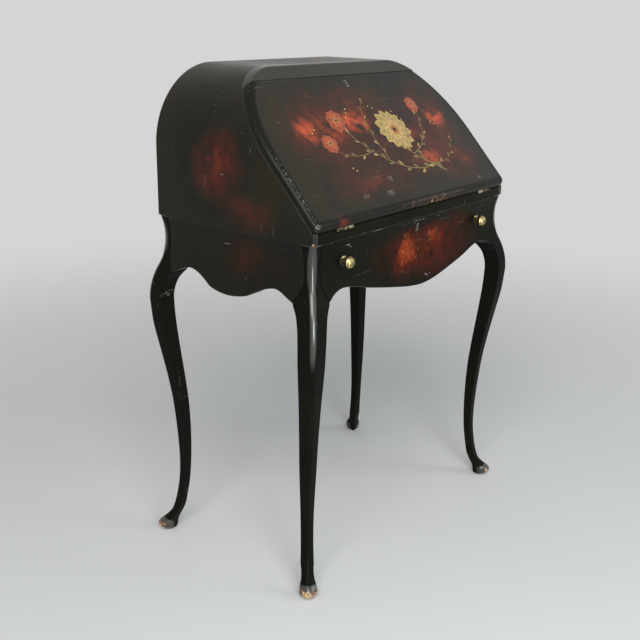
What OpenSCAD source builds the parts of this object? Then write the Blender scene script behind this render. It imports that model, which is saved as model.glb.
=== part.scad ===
// Drop-front desk: a barrel-topped case with a sloping flap, on a frame with
// one apron-fronted drawer and four cabriole legs.
// Millimetres. The origin is on the floor below the middle of the plan,
// X runs to the right, Y runs to the back and Z runs up.

/* [Case] */
// Width of the case over its two sides
case_w = 700; // [660:5:760]
// Depth of the case from its front plane to its back
case_d = 410; // [400:5:460]
// Height of the underside of the case above the floor
case_base = 730; // [715:1:740]
// Height of the case, from its underside to the flat top
case_h = 298; // [288:1:320]
// Outer radius of the bent shoulders
shoulder_r = 158; // [140:1:175]
// Thickness of the bent shell
shell_t = 14; // [11:0.5:16]
// Thickness of the writing bed, which is the bottom board of the case
bed_t = 20; // [18:0.5:24]
// Thickness of the back panel
back_t = 8; // [6:0.5:10]
// Depth of the rail behind the fascia, square to the slope
fascia_rail_t = 16; // [12:1:22]
// Overlap of that rail behind the top edge of the lid
lid_rebate = 9; // [6:0.5:14]

/* [Lid] */
// Slope of the closed lid above the horizontal, in degrees
lid_angle = 47; // [45:0.5:49]
// Thickness of the lid and of the fascia
lid_t = 16; // [15:0.5:20]
// Width of the face of the fascia, from the lid up to the flat top
fascia_w = 33.2; // [28:0.2:44]
// Radius of the lower corners of the lid
lid_corner_r = 14; // [8:1:24]
// Radius of the outer arris of the lid
lid_arris_r = 6; // [3:0.5:8]
// Gap between the hinge axis and the lower end of the lid
lid_foot_gap = 1; // [0.6:0.1:2]
// Gap between the lid and the edges that it leans on
seat_gap = 0.4; // [0.3:0.05:0.8]
// Gap between the lid and the fascia above it
joint_gap = 1; // [0.6:0.1:1.6]
// Distance from each side of the lid to the leather on its writing side
leather_in = 70; // [60:1:100]
// Gap between the leather and the lock case above it
leather_margin = 22; // [12:1:47]
// Distance from the hinge axis to the leather
leather_from = 42; // [36:1:44]
// Thickness of the leather
leather_t = 1; // [0.8:0.1:1.6]

/* [Frieze] */
// Depth of the waist of the frieze behind the case plane
waist_in = 6.5; // [4:0.5:9]
// Distance of the waist below the case
waist_drop = 45; // [40:1:50]
// Radius of the hollow in the frieze
hollow_r = 155; // [140:5:180]
// Distance below the case at which the hollow turns into the knee
turn_drop = 105; // [100:1:110]
// Distance of the fullest point of the knee below the case
knee_drop = 180; // [174:1:186]
// Distance from the case plane to the flat back of each apron
apron_in = 24.5; // [22:0.5:28]
// Height of the arches of the aprons, as a distance below the case
arch_drop = 97; // [94:1:100]
// Width of a leg post, measured in from the case plane
post_in = 27.5; // [26.5:0.5:30]
// Gap at a glued joint between a leg and an apron
glue_gap = 0.3; // [0.2:0.05:0.5]

/* [Legs] */
// Reach of the toe outside the case plane
toe_out = 21.5; // [18:0.5:24]
// Height of the toe above the floor
toe_z = 14; // [11:1:16]
// Reach of the sole outside the case plane
sole_out = 13; // [10:0.5:16]
// Offset of the ankle behind the case plane
ankle_in = 17; // [14:0.5:20]
// Width of the leg at the ankle
ankle_w = 20.5; // [18:0.5:24]
// Radius of the outer arris of the leg
leg_arris_r = 11; // [6:0.5:13]
// Chamfer of the other arrises of the leg
leg_chamfer = 1.2; // [0.6:0.1:2]
// How far the two side corners of the toe are cut back beyond that
toe_slim = 8; // [4:0.5:9]

/* [Drawer] */
// Gap around the drawer front
drawer_gap = 1.2; // [1:0.1:1.8]
// Gap above the drawer front
drawer_top_gap = 1; // [0.8:0.1:1.6]
// Thickness of the drawer sides and back
drawer_side_t = 10; // [8:0.5:12]
// Height of the drawer sides
drawer_side_h = 57; // [48:1:58]
// Room for the drawer box and its stops, ahead of the back apron
drawer_room = 31; // [26:1:61]
// Thickness of the drawer bottom
drawer_bottom_t = 5; // [4:0.5:7]
// Height of the drawer bottom above the lower edges of the sides
drawer_bottom_up = 5; // [4:0.5:6]
// Depth of the grooves that hold the drawer bottom
groove_d = 5; // [3:0.5:6]
// Length of the side that is lapped into the drawer front
drawer_lap = 12; // [8:1:14]
// Thickness of the runners under the drawer sides
runner_t = 10; // [8:0.5:12]
// Width of the runner tread
runner_w = 25; // [20:1:30]
// Running gap of the drawer beside and above its runners
runner_gap = 0.5; // [0.4:0.1:0.8]
// Length of each drawer stop
stop_len = 12; // [8:1:14]
// Height of each drawer stop
stop_h = 14; // [10:1:20]

/* [Knobs] */
// Distance of each knob from the side of the case
knob_in = 100; // [85:5:120]
// Distance of the knobs below the case
knob_drop = 47; // [45:0.5:48]
// Diameter of the knob head
knob_d = 24; // [20:0.5:26]
// Reach of the knob in front of the drawer
knob_reach = 24; // [21:0.5:28]
// Diameter of the knob shank
knob_shank_d = 6; // [5:0.2:7]
// Diameter of the round rose
rose_d = 22; // [20:0.5:26]
// Thickness of the rose
rose_t = 2.5; // [2:0.1:3]
// Diameter of the round nut on the shank
nut_d = 9; // [8:0.5:9.5]
// Thickness of the nut
nut_t = 5; // [4:0.5:6]

/* [Locks] */
// Width of each lock case
lock_w = 50; // [44:1:56]
// Height of each lock case
lock_h = 42; // [36:1:44]
// Depth of each lock case
lock_t = 8; // [7:0.5:9]
// Thickness of the plates of the lock case
lock_plate = 1.6; // [1.2:0.1:2]
// Width of the bolt
bolt_w = 18; // [14:0.5:24]
// Length of the bolt
bolt_len = 11; // [9:0.5:12]
// Throw of the bolt
bolt_throw = 4.5; // [3.5:0.5:5]
// Distance of the key below the top of the lock
key_drop = 16; // [14.5:0.5:18]
// Diameter of the drill pin that the key turns on
key_pin_d = 2.8; // [2:0.1:3]
// Radius of the round part of the keyhole
key_r = 2.5; // [2.2:0.1:3]
// Length of the skirt of the keyhole
key_skirt = 12.5; // [10:0.5:14]
// Half the width of the skirt at its neck
key_neck = 1.5; // [1.2:0.1:1.8]
// Half the width of the skirt at its hem
key_hem = 2.2; // [1.8:0.1:2.6]
// Width of the metal thread that lines the keyhole
thread_t = 0.9; // [0.7:0.1:1.2]
// Length of the strike plate
strike_w = 36; // [32:1:44]
// Width of the strike plate
strike_d = 10; // [9.5:0.5:11]

/* [Hinges and stays] */
// Distance of the middle of each hinge from the side of the case
hinge_in = 90; // [80:5:110]
// Length of each hinge
hinge_len = 50; // [40:1:60]
// Width of each hinge leaf, from the axis
leaf_w = 28; // [24:1:30]
// Thickness of each hinge leaf
leaf_t = 2; // [1.6:0.1:2.4]
// Radius of the knuckles
knuckle_r = 4; // [3.5:0.1:4.5]
// Diameter of the hinge pins
hinge_pin_d = 3; // [2.4:0.1:3.4]
// Diameter of the screw shanks
screw_d = 2.8; // [2.4:0.1:3.2]
// Length of the hinge screws
screw_len = 11; // [9:0.5:12]
// Distance along the lid from its hinge axis to the pivot of the stay
stay_arm = 120; // [110:1:125]
// Height of that pivot off the lid
stay_lift = 8; // [7:0.5:9]
// Distance between the two pivots of the stay on the case side
stay_base = 120; // [110:1:125]
// Rise of the line from the hinge axis to the pivot on the case, in degrees
stay_rise = 12; // [10:0.5:16]
// Thickness of the stay arms and brackets
stay_t = 3; // [2.5:0.1:3]
// Width of the stay arms
stay_w = 10; // [8:0.5:11]
// Diameter of the stay pins
stay_pin_d = 5; // [4:0.2:5.4]

/* [Gallery] */
// Distance of the gallery from each side of the case
gallery_in = 46; // [42:2:70]
// Distance of the gallery behind the case front
gallery_from = 225; // [215:1:235]
// Height of the gallery above the writing bed
gallery_h = 188; // [170:1:190]
// Thickness of the gallery boards
gallery_t = 8; // [6:0.5:10]
// Thickness of the dividers
divider_t = 6; // [4:0.5:8]
// Height of the lower row of compartments
lower_h = 56; // [48:1:66]
// Number of compartments in the lower row
lower_n = 3; // [2:1:4]
// Number of pigeonholes in the upper row
upper_n = 6; // [4:1:7]
// Radius of the scoop in the front edge of each divider
scoop_r = 70; // [60:5:90]
// Depth of that scoop
scoop_d = 14; // [8:1:20]

/* [Hidden] */
$fn = 48;

// Colours
lacquer = "#1d2422";
bare_wood = "#8a5a34";
brass = "#b08d4a";
steel = "#7d7f80";
leather = "#4a1f18";

// Clearances
fit = 0.1;
pin_fit = 0.1;
open_pivot_fit = 0.3;
eps = 0.01;
far = 2000;

// Places that several pieces share
half_w = case_w / 2;
half_d = case_d / 2;
case_top = case_base + case_h;
bed_z = case_base + bed_t;
drawer_len = case_d - 2 * apron_in - drawer_room;
leather_w = case_w - 2 * leather_in;
knob_x = half_w - knob_in;
hinge_x = half_w - hinge_in;
gallery_w = case_w - 2 * gallery_in;
waist_z = case_base - waist_drop;
turn_z = case_base - turn_drop;
knee_z = case_base - knee_drop;
arch_z = case_base - arch_drop;
slope_len = (case_top - bed_z - lid_t * cos(lid_angle)) / sin(lid_angle);
lid_end_gap = slope_len - fascia_w;
lid_len = lid_end_gap - joint_gap;
leather_len = lid_len - leather_from - lock_h - leather_margin;
knuckle_room = knuckle_r + 0.4;
head_r = screw_d / 2 + 1.6;
head_h = 1.6;

// Outline of the barrel case, seen from the front, drawn in by a wall
module barrel_2d(inset) {
    top = case_top - inset;
    side = half_w - inset;
    mid_x = half_w - shoulder_r;
    mid_z = case_top - shoulder_r;
    intersection() {
        union() {
            translate([-side, case_base])
                square([2 * side, mid_z - case_base]);
            translate([-mid_x, case_base])
                square([2 * mid_x, top - case_base]);
            for (s = [-1, 1])
                translate([s * mid_x, mid_z])
                    circle(r = shoulder_r - inset, $fn = 128);
        }
        translate([-half_w, case_base])
            square([case_w, case_top - case_base]);
    }
}

// The barrel as a solid from one depth to another
module barrel(inset, y_from, y_to) {
    translate([0, y_to, 0])
        rotate([90, 0, 0])
            linear_extrude(y_to - y_from)
                barrel_2d(inset);
}

// Frame of the slope: X along the hinge, Y up the lid, Z out of its face
module on_slope() {
    translate([0, -half_d, bed_z])
        rotate([lid_angle, 0, 0])
            children();
}

module both_sides() {
    for (s = [-1, 1])
        scale([s, 1, 1])
            children();
}

// A box that is centred on X and starts at the given Y and Z
module mid_box(w, d, h, y = 0, z = 0) {
    translate([-w / 2, y, z])
        cube([w, d, h]);
}

// A cylinder along X
module rod_x(r, x_from, x_to) {
    translate([x_from, 0, 0])
        rotate([0, 90, 0])
            cylinder(h = x_to - x_from, r = r);
}

// Hermite curve through the rows of a table, column 0 being its parameter
function steepness(t, c, i) =
    let (a = max(i - 1, 0), b = min(i + 1, len(t) - 1))
    (t[b][c] - t[a][c]) / (t[b][0] - t[a][0]);

function hermite(p, q, m, n, s) =
    p * (1 + 2 * s) * pow(1 - s, 2) + m * s * pow(1 - s, 2)
    + q * s * s * (3 - 2 * s) - n * s * s * (1 - s);

function curve(t, c, v, i = 0) =
    i < len(t) - 2 && v > t[i + 1][0] ? curve(t, c, v, i + 1)
    : let (h = t[i + 1][0] - t[i][0], s = (v - t[i][0]) / h)
      hermite(t[i][c], t[i + 1][c], h * steepness(t, c, i), h * steepness(t, c, i + 1), s);

// Profile of the frieze: a hollow below the case that turns into the full knee.
// Both give the distance outside the case plane at a height.
turn_sin = (waist_z - turn_z) / hollow_r;
turn_cos = sqrt(1 - turn_sin * turn_sin);
turn_out = hollow_r * (1 - turn_cos) - waist_in;
knee_r = (turn_z - knee_z) / turn_sin;
knee_out = turn_out + knee_r * (1 - turn_cos);

function frieze_out(z) =
    z > turn_z
    ? hollow_r - sqrt(hollow_r * hollow_r - pow(z - waist_z, 2)) - waist_in
    : knee_out - knee_r + sqrt(knee_r * knee_r - pow(z - knee_z, 2));

// Stations of the cabriole leg: height, outer face outside the case plane,
// inner face inside it. The foot keeps to the floor and the knee to the case.
leg_low = [
    [0, sole_out, 11],
    [toe_z / 2, toe_out - 2, 12.5],
    [toe_z, toe_out, 13.5],
    [toe_z + 8, toe_out - 4, 14.5],
    [toe_z + 18, toe_out - 14, 17.5],
    [toe_z + 31, -1.5, 22.5],
    [toe_z + 47, -6.5, 27],
    [85, 6 - ankle_in, ankle_w + 10],
    [125, 1.5 - ankle_in, ankle_w + 14.5],
    [170, -ankle_in, ankle_w + ankle_in],
    [220, 1.5 - ankle_in, 38.5],
    [270, -12.5, 38],
];
leg_middle_z = case_base - 410;
leg_high = [
    [leg_middle_z, -8.5, 36],
    [case_base - 365, -3, 32.5],
    [case_base - 320, 3.5, 28.5],
    [case_base - 275, 10.5, 24.5],
    [case_base - 230, 17, 21],
    [knee_z, knee_out, 19],
];
// The inner face above the knee, where the leg widens to meet the aprons
ear_z = case_base - 113;
ear_in = 41;
leg_inner = concat(
    [for (row = leg_high) [row[0], row[2]]],
    [
        [case_base - 160, 20.5],
        [case_base - 137, 26.5],
        [case_base - 124, 34],
        [ear_z, ear_in],
        [case_base - 101, 37],
        [case_base - 90, 31],
        [case_base - 76, post_in],
        [case_base - 60, post_in],
        [case_base, post_in],
    ]
);
leg_outer = concat(leg_low, leg_high);

function leg_out(z) = z > knee_z ? frieze_out(z) : curve(leg_outer, 1, z);
function leg_in(z) = z > leg_middle_z ? curve(leg_inner, 1, z) : curve(leg_outer, 2, z);

// Heights of the rings: close together in the foot and the knee
foot_top = 60;
leg_heights = concat(
    [for (z = [0:4:foot_top]) z],
    [for (z = [foot_top + 12:22:knee_z - 2]) z],
    [for (z = [knee_z:8:case_base - 3]) z],
    [case_base]
);

// How much of the toe's slimming a height has: all of it up to the toe, none above the foot
function foot_share(z) = max(0, min(1, (foot_top - z) / (foot_top - toe_z)));

// One ring, drawn around the leg that stands at the right-hand back corner
arris_steps = 4;
function leg_ring(z) =
    let (
        hi = leg_out(z),
        lo = -leg_in(z),
        r = min(leg_arris_r, 0.36 * (hi - lo)),
        k = leg_chamfer,
        s = k + toe_slim * foot_share(z)
    )
    concat(
        [
            for (i = [0:arris_steps])
                let (a = 90 * i / arris_steps)
                [hi - r + r * cos(a), hi - r + r * sin(a), z]
        ],
        [
            [lo + s, hi, z], [lo, hi - s, z], [lo, lo + k, z],
            [lo + k, lo, z], [hi - s, lo, z], [hi, lo + s, z],
        ]
    );

// Skin of a stack of rings that all have the same number of points
function stack_faces(rings, n) = concat(
    [[for (j = [0:n - 1]) j]],
    [
        for (i = [0:rings - 2], j = [0:n - 1])
            let (k = (j + 1) % n)
            [i * n + j, (i + 1) * n + j, (i + 1) * n + k]
    ],
    [
        for (i = [0:rings - 2], j = [0:n - 1])
            let (k = (j + 1) % n)
            [i * n + j, (i + 1) * n + k, i * n + k]
    ],
    [[for (j = [n - 1:-1:0]) (rings - 1) * n + j]]
);

module leg(x_side, y_side) {
    ring_n = arris_steps + 7;
    points = [
        for (z = leg_heights, p = leg_ring(z))
            [x_side * (half_w + p[0]), y_side * (half_d + p[1]), p[2]]
    ];
    faces = stack_faces(len(leg_heights), ring_n);
    turned = x_side * y_side > 0 ? faces : [for (f = faces) [for (i = [len(f) - 1:-1:0]) f[i]]];
    color(lacquer)
        polyhedron(points, turned, convexity = 6);
}

// Lower edges of the aprons, from the ear to the middle:
// distance from the ear, height above the arch
front_edge = [[0, -16], [22, -5], [50, 0], [90, -6], [131, -16], [211, -31.5], [262, -40]];
front_lobe = -43.5;
side_edge = [[0, -17], [20, -9], [38, -2], [52, 0], [72, -4.5], [94, -14], [118, -26]];
side_lobe = -32.5;

// Points of one lower edge, from the left ear to the right one
function lower_edge(table, lobe, ear, steps) =
    let (t = concat(table, [[ear, lobe], [2 * ear - table[len(table) - 1][0], table[len(table) - 1][1]]]))
    concat(
        [for (i = [0:steps]) let (v = ear * i / steps) [v - ear, arch_z + curve(t, 1, v)]],
        [for (i = [steps - 1:-1:0]) let (v = ear * i / steps) [ear - v, arch_z + curve(t, 1, v)]]
    );

// Elevation of an apron between two posts: its ends follow the legs with a gap
end_steps = 8;
module apron_2d(half, table, lobe, gap, top) {
    ear = half - ear_in - gap;
    low = arch_z + table[0][1];
    high = case_base - 60;
    end = [
        for (i = [1:end_steps])
            let (z = low + (high - low) * i / end_steps)
            [half - gap - leg_in(z), z]
    ];
    polygon(concat(
        lower_edge(table, lobe, ear, 26),
        end,
        [[half - gap - post_in, top], [post_in + gap - half, top]],
        [for (i = [len(end) - 1:-1:0]) [-end[i][0], end[i][1]]]
    ));
}

// Section of an apron: hollow outside, flat inside. X is outward, Y is up.
section_steps = 26;
module section_2d(inner, top) {
    low = arch_z + front_lobe - 6;
    polygon(concat(
        [
            for (i = [0:section_steps])
                let (z = low + (top - low) * i / section_steps)
                [frieze_out(z), z]
        ],
        [[-inner, top], [-inner, low]]
    ));
}

// An apron along X, with its hollow face towards the front
module apron_solid(half, depth, table, lobe, gap, top) {
    intersection() {
        translate([0, far / 2 - depth, 0])
            rotate([90, 0, 0])
                linear_extrude(far)
                    apron_2d(half, table, lobe, gap, top);
        translate([half, -depth, 0])
            rotate([90, 0, -90])
                linear_extrude(2 * half)
                    section_2d(apron_in, top);
    }
}

module side_apron(turn) {
    color(lacquer)
        rotate([0, 0, turn])
            apron_solid(half_d, half_w, side_edge, side_lobe, glue_gap, case_base);
}

module apron_back() {
    color(lacquer)
        rotate([0, 0, 180])
            apron_solid(half_w, half_d, front_edge, front_lobe, glue_gap, case_base);
}

// Places inside the frieze
post_room = 5;
drawer_back_in = 4;
drawer_half = half_w - post_in - drawer_gap - post_room;
drawer_low = case_base - 63.5;
drawer_top = case_base - drawer_top_gap;
drawer_back_y = -half_d + apron_in + drawer_len;
apron_face = half_w - apron_in;

module drawer_runner() {
    y_from = -half_d + post_in + glue_gap;
    len_y = 2 * (half_d - post_in - glue_gap);
    color(bare_wood)
        difference() {
            union() {
                translate([apron_face - runner_w, y_from, drawer_low - runner_gap - runner_t])
                    cube([runner_w, len_y, runner_t]);
                translate([drawer_half + runner_gap, y_from, drawer_low - runner_gap - eps])
                    cube([
                        apron_face - drawer_half - runner_gap,
                        len_y,
                        case_base - drawer_low + runner_gap + eps,
                    ]);
            }
            case_screw_places()
                frame_screw(fit / 2);
        }
}

module drawer_stops() {
    color(bare_wood)
        both_sides()
            translate([
                drawer_half - drawer_side_t,
                drawer_back_y + runner_gap,
                drawer_low - runner_gap,
            ])
                cube([drawer_side_t, stop_len, stop_h]);
}

// Screws that hold the case down on the frame
frame_screw_len = 42;
frame_screw_r = 2.2;
frame_head_r = 4.4;
frame_head_h = 3;
frame_screw_in = 85;

module frame_screw(grow) {
    translate([0, 0, -frame_screw_len])
        cylinder(h = frame_screw_len, r = frame_screw_r + grow);
    translate([0, 0, -frame_head_h])
        cylinder(h = frame_head_h + grow, r1 = frame_screw_r + grow, r2 = frame_head_r + grow);
}

module case_screw_places() {
    guide_mid = (drawer_half + runner_gap + apron_face) / 2;
    for (y = [-1:1])
        translate([guide_mid, y * (half_d - frame_screw_in), bed_z])
            children();
}

module case_screws() {
    color(steel)
        both_sides()
            case_screw_places()
                frame_screw(0);
}

// Screws through the back panel into the writing bed
back_screw_len = 24;
back_screw_n = 5;
module back_screw_places() {
    for (i = [0:back_screw_n - 1])
        translate([
            (i / (back_screw_n - 1) - 0.5) * (case_w - 120),
            half_d,
            case_base + bed_t / 2,
        ])
            rotate([-90, 0, 0])
                children();
}

module wood_screw(length, grow) {
    translate([0, 0, -length])
        cylinder(h = length, r = screw_d / 2 + grow);
    translate([0, 0, -head_h])
        cylinder(h = head_h + grow, r1 = screw_d / 2 + grow, r2 = head_r + grow);
}

module back_screws() {
    color(brass)
        back_screw_places()
            wood_screw(back_screw_len, 0);
}

// Case
module writing_bed() {
    color(lacquer)
        difference() {
            mid_box(
                case_w - 2 * shell_t - 2 * fit,
                case_d - back_t - fit,
                bed_t,
                -half_d,
                case_base
            );
            both_sides() {
                hinge_room();
                case_screw_places()
                    frame_screw(fit / 2);
            }
            back_screw_places()
                wood_screw(back_screw_len, fit / 2);
            at_drawer_lock()
                strike_room(drawer_top_gap);
        }
}

// Room for one hinge in the bed: the knuckles, the leaf and its screws
module hinge_room() {
    translate([hinge_x, -half_d, bed_z]) {
        rod_x(knuckle_room, -hinge_len / 2 - 0.6, hinge_len / 2 + 0.6);
        mid_box(hinge_len + 2 * fit, leaf_w + fit, leaf_t + 1, 0, -leaf_t);
        leaf_screw_places()
            wood_screw(screw_len, fit / 2);
    }
}

// Room for one hinge in the lid, in the frame of the slope
module lid_hinge_room() {
    translate([hinge_x, 0, 0]) {
        rod_x(knuckle_room, -hinge_len / 2 - 0.6, hinge_len / 2 + 0.6);
        mid_box(hinge_len + 2 * fit, leaf_w + fit, leaf_t + 1, 0, -1);
        leaf_screw_places()
            rotate([180, 0, 0])
                wood_screw(screw_len, fit / 2);
    }
}

module case_shell() {
    color(lacquer)
        difference() {
            barrel(0, -half_d, half_d);
            barrel_inside();
            on_slope()
                translate([-far / 2, -30, -seat_gap])
                    cube([far, far, far]);
        }
}

// The hollow of the shell, open at the front, the back and below
module barrel_inside() {
    barrel(shell_t, -half_d - 1, half_d + 1);
    mid_box(case_w - 2 * shell_t, case_d + 2, bed_t + 1, -half_d - 1, case_base - 1);
}

module case_back() {
    color(lacquer)
        difference() {
            barrel(shell_t + fit, half_d - back_t, half_d);
            back_screw_places()
                wood_screw(back_screw_len, fit / 2);
        }
}

module fascia() {
    color(lacquer)
        difference() {
            intersection() {
                barrel(0, -half_d - lid_t * 2, half_d);
                on_slope()
                    mid_box(far, far, lid_t + seat_gap, lid_end_gap, -seat_gap);
            }
            at_lid_lock()
                strike_room(joint_gap);
        }
}

rail_past = 4;
module fascia_rail() {
    rail_up = (case_top - shell_t - bed_z) / sin(lid_angle);
    color(lacquer)
        intersection() {
            barrel(shell_t + fit, -half_d, half_d);
            on_slope()
                mid_box(
                    far,
                    rail_up - lid_len + lid_rebate + rail_past,
                    fascia_rail_t,
                    lid_len - lid_rebate,
                    -seat_gap - fascia_rail_t
                );
        }
}

// Lid
// Outline of the lid on the slope, with its lower corners rounded
module lid_face_2d() {
    r = lid_corner_r;
    translate([-half_w, lid_foot_gap + r])
        square([case_w, lid_len - lid_foot_gap - r]);
    translate([r - half_w, lid_foot_gap])
        square([case_w - 2 * r, r + eps]);
    for (s = [-1, 1])
        translate([s * (half_w - r), lid_foot_gap + r])
            circle(r = r);
}

// Section of the lid, X up the slope and Y out of the face
module lid_section_2d() {
    r = lid_arris_r;
    translate([lid_foot_gap + r, 0])
        square([lid_len - lid_foot_gap - r, lid_t]);
    translate([lid_foot_gap, 0])
        square([r + eps, lid_t - r]);
    translate([lid_foot_gap + r, lid_t - r])
        circle(r = r);
}

// Section of the lid across the slope, X to the side and Y out of the face
module lid_cross_2d() {
    r = lid_arris_r;
    translate([-half_w, 0])
        square([case_w, lid_t - r]);
    translate([r - half_w, 0])
        square([case_w - 2 * r, lid_t]);
    for (s = [-1, 1])
        translate([s * (half_w - r), lid_t - r])
            circle(r = r);
}

module lid_blank() {
    intersection() {
        barrel(0, -half_d - lid_t * 2, half_d);
        on_slope()
            linear_extrude(lid_t)
                lid_face_2d();
        on_slope()
            translate([-far / 2, 0, 0])
                rotate([90, 0, 90])
                    linear_extrude(far)
                        lid_section_2d();
        on_slope()
            translate([0, far / 2, 0])
                rotate([90, 0, 0])
                    linear_extrude(far)
                        lid_cross_2d();
    }
}

module lid_panel() {
    color(lacquer)
        difference() {
            lid_blank();
            on_slope() {
                mid_box(
                    leather_w + 2 * fit,
                    leather_len + 2 * fit,
                    leather_t + 1,
                    leather_from - fit,
                    -1
                );
                both_sides()
                    lid_hinge_room();
            }
            at_lid_lock() {
                lock_room();
                translate([0, -lid_t - 1, -key_drop])
                    keyhole(lid_t, 0);
                translate([0, -lid_t, -key_drop])
                    thread_room();
            }
        }
}

module lid_leather() {
    color(leather)
        on_slope()
            mid_box(leather_w, leather_len, leather_t, leather_from, 0);
}

// Locks
// In the frame of a lock Z is the throw of the bolt, Y points out of the wood
// into the desk and the origin is the middle of the lock's top edge.
module at_drawer_lock() {
    translate([0, -half_d + apron_in, drawer_top])
        children();
}

module at_lid_lock() {
    on_slope()
        translate([0, lid_len, 0])
            rotate([-90, 0, 0])
                children();
}

module lock_room() {
    mid_box(lock_w + 2 * fit, lock_t + 1, lock_h + fit + 1, -lock_t - fit, -lock_h - fit);
}

bolt_out = lock_plate + 0.4;
bolt_t = lock_t - bolt_out - 0.4;

module lock_case() {
    color(brass) {
        difference() {
            mid_box(lock_w, lock_t, lock_h, -lock_t, -lock_h);
            mid_box(
                lock_w - 2 * lock_plate,
                lock_t - lock_plate + 1,
                lock_h - 2 * lock_plate,
                -lock_t - 1,
                lock_plate - lock_h
            );
            mid_box(bolt_w + 2 * fit, bolt_t + 2 * fit, 20, fit - bolt_out - bolt_t - 2 * fit, -10);
        }
        translate([0, -lock_plate + eps, -key_drop])
            rotate([90, 0, 0])
                cylinder(h = lock_t + 1, r = key_pin_d / 2);
    }
}

module lock_bolt() {
    color(steel)
        difference() {
            mid_box(bolt_w, bolt_t, bolt_len, -bolt_out - bolt_t, -0.5 - bolt_len);
            translate([0, 0, -0.5 - bolt_len])
                rotate([90, 0, 0])
                    cylinder(h = lock_t + 1, r = 2.4);
        }
}

// Room for a strike and for the thrown bolt, above a gap
module strike_room(gap) {
    strike_block(gap, strike_w + 2 * fit, fit);
    mid_box(
        bolt_w + 2,
        bolt_t + 1.4,
        bolt_throw + 1.2 - gap,
        -bolt_out - bolt_t - 0.7,
        gap
    );
}

strike_t = 1.5;
module strike_block(gap, width, grow) {
    mid_y = -bolt_out - bolt_t / 2;
    mid_box(
        width,
        strike_d + 2 * grow,
        strike_t + grow,
        mid_y - strike_d / 2 - grow,
        gap
    );
}

module strike(gap) {
    color(brass)
        difference() {
            strike_block(gap, strike_w, 0);
            mid_box(bolt_w + 2, bolt_t + 1.4, 10, -bolt_out - bolt_t - 0.7, gap - 1);
        }
}

// A keyhole along Y from the origin, its round part there and its skirt below
module keyhole(depth, grow) {
    translate([0, depth, 0])
        rotate([90, 0, 0]) {
            cylinder(h = depth, r = key_r + grow);
            linear_extrude(depth)
                polygon([
                    [-key_neck - grow, 0], [key_neck + grow, 0],
                    [key_hem + grow, -key_skirt - grow], [-key_hem - grow, -key_skirt - grow],
                ]);
        }
}

thread_depth = 4;
module thread_room() {
    translate([0, -1, 0])
        keyhole(thread_depth + 1, thread_t + fit / 2);
}

module thread() {
    color(brass)
        difference() {
            keyhole(thread_depth, thread_t);
            translate([0, -1, 0])
                keyhole(thread_depth + 2, 0);
        }
}

module lid_escutcheon() {
    at_lid_lock()
        translate([0, -lid_t, -key_drop])
            thread();
}

// The drawer's keyhole stands square to the hollow face
key_z = drawer_top - key_drop;
escutcheon_z = key_z - key_skirt / 2;
face_tilt = asin((escutcheon_z - waist_z) / hollow_r);

module at_drawer_face() {
    translate([0, -half_d - frieze_out(escutcheon_z), escutcheon_z])
        rotate([face_tilt, 0, 0])
            translate([0, 0, key_skirt / 2])
                children();
}

module drawer_escutcheon() {
    at_drawer_face()
        thread();
}

// Hinges, in a frame whose X axis is the hinge axis
module leaf_screw_places() {
    for (i = [-1:1])
        translate([i * (hinge_len / 2 - 8), leaf_w * 0.64, 0])
            children();
}

knuckle_mid = hinge_len / 6;
knuckle_gap = 0.3;

module leaf_plate() {
    mid_box(hinge_len, leaf_w - knuckle_room, leaf_t, knuckle_room, -leaf_t);
}

module hinge_bed_leaf() {
    color(brass)
        translate([hinge_x, -half_d, bed_z])
            difference() {
                union() {
                    leaf_plate();
                    mid_box(2 * knuckle_mid, knuckle_room + eps, leaf_t, 0, -leaf_t);
                    rod_x(knuckle_r, -knuckle_mid, knuckle_mid);
                }
                rod_x(hinge_pin_d / 2 + pin_fit, -hinge_len, hinge_len);
                leaf_screw_places()
                    wood_screw(screw_len, fit / 2);
            }
}

module hinge_lid_leaf() {
    inner = knuckle_mid + knuckle_gap;
    outer = hinge_len / 2;
    color(brass)
        on_slope()
            translate([hinge_x, 0, 0])
                difference() {
                    union() {
                        translate([0, 0, leaf_t])
                            leaf_plate();
                        for (x = [-outer, inner]) {
                            rod_x(knuckle_r, x, x + outer - inner);
                            translate([x, 0, 0])
                                cube([outer - inner, knuckle_room + eps, leaf_t]);
                        }
                    }
                    rod_x(hinge_pin_d / 2 + pin_fit, -hinge_len, hinge_len);
                    leaf_screw_places()
                        rotate([180, 0, 0])
                            wood_screw(screw_len, fit / 2);
                }
}

module hinge_pins() {
    color(steel)
        both_sides()
            translate([hinge_x, -half_d, bed_z])
                rod_x(hinge_pin_d / 2, -hinge_len / 2, hinge_len / 2);
}

module hinge_screws_bed() {
    color(brass)
        both_sides()
            translate([hinge_x, -half_d, bed_z])
                leaf_screw_places()
                    wood_screw(screw_len, 0);
}

module hinge_screws_lid() {
    color(brass)
        both_sides()
            on_slope()
                translate([hinge_x, 0, 0])
                    leaf_screw_places()
                        rotate([180, 0, 0])
                            wood_screw(screw_len, 0);
}

// Stays: each is a parallelogram of the hinge axis, the lid pivot, the elbow
// and the case pivot, so the case arm turns with the lid and the lid arm
// keeps its slope. Across the case, the layers run inwards from the shell.
pin_r = stay_pin_d / 2;
shell_face = half_w - shell_t;
case_arm_x = shell_face - 2 * stay_t - 3;
lid_arm_x = case_arm_x - 2 * stay_t;
ear_x = lid_arm_x - stay_t - 1;
cap_r = pin_r + 2;
cap_t = 1.2;
layer_gap = 0.3;
lid_pivot_far = sqrt(stay_arm * stay_arm + stay_lift * stay_lift);
lid_pivot_dir = lid_angle - atan(stay_lift / stay_arm);

module at_case_pivot() {
    translate([0, -half_d, bed_z])
        rotate([stay_rise, 0, 0])
            translate([0, stay_base, 0])
                rotate([-stay_rise, 0, 0])
                    children();
}

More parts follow.
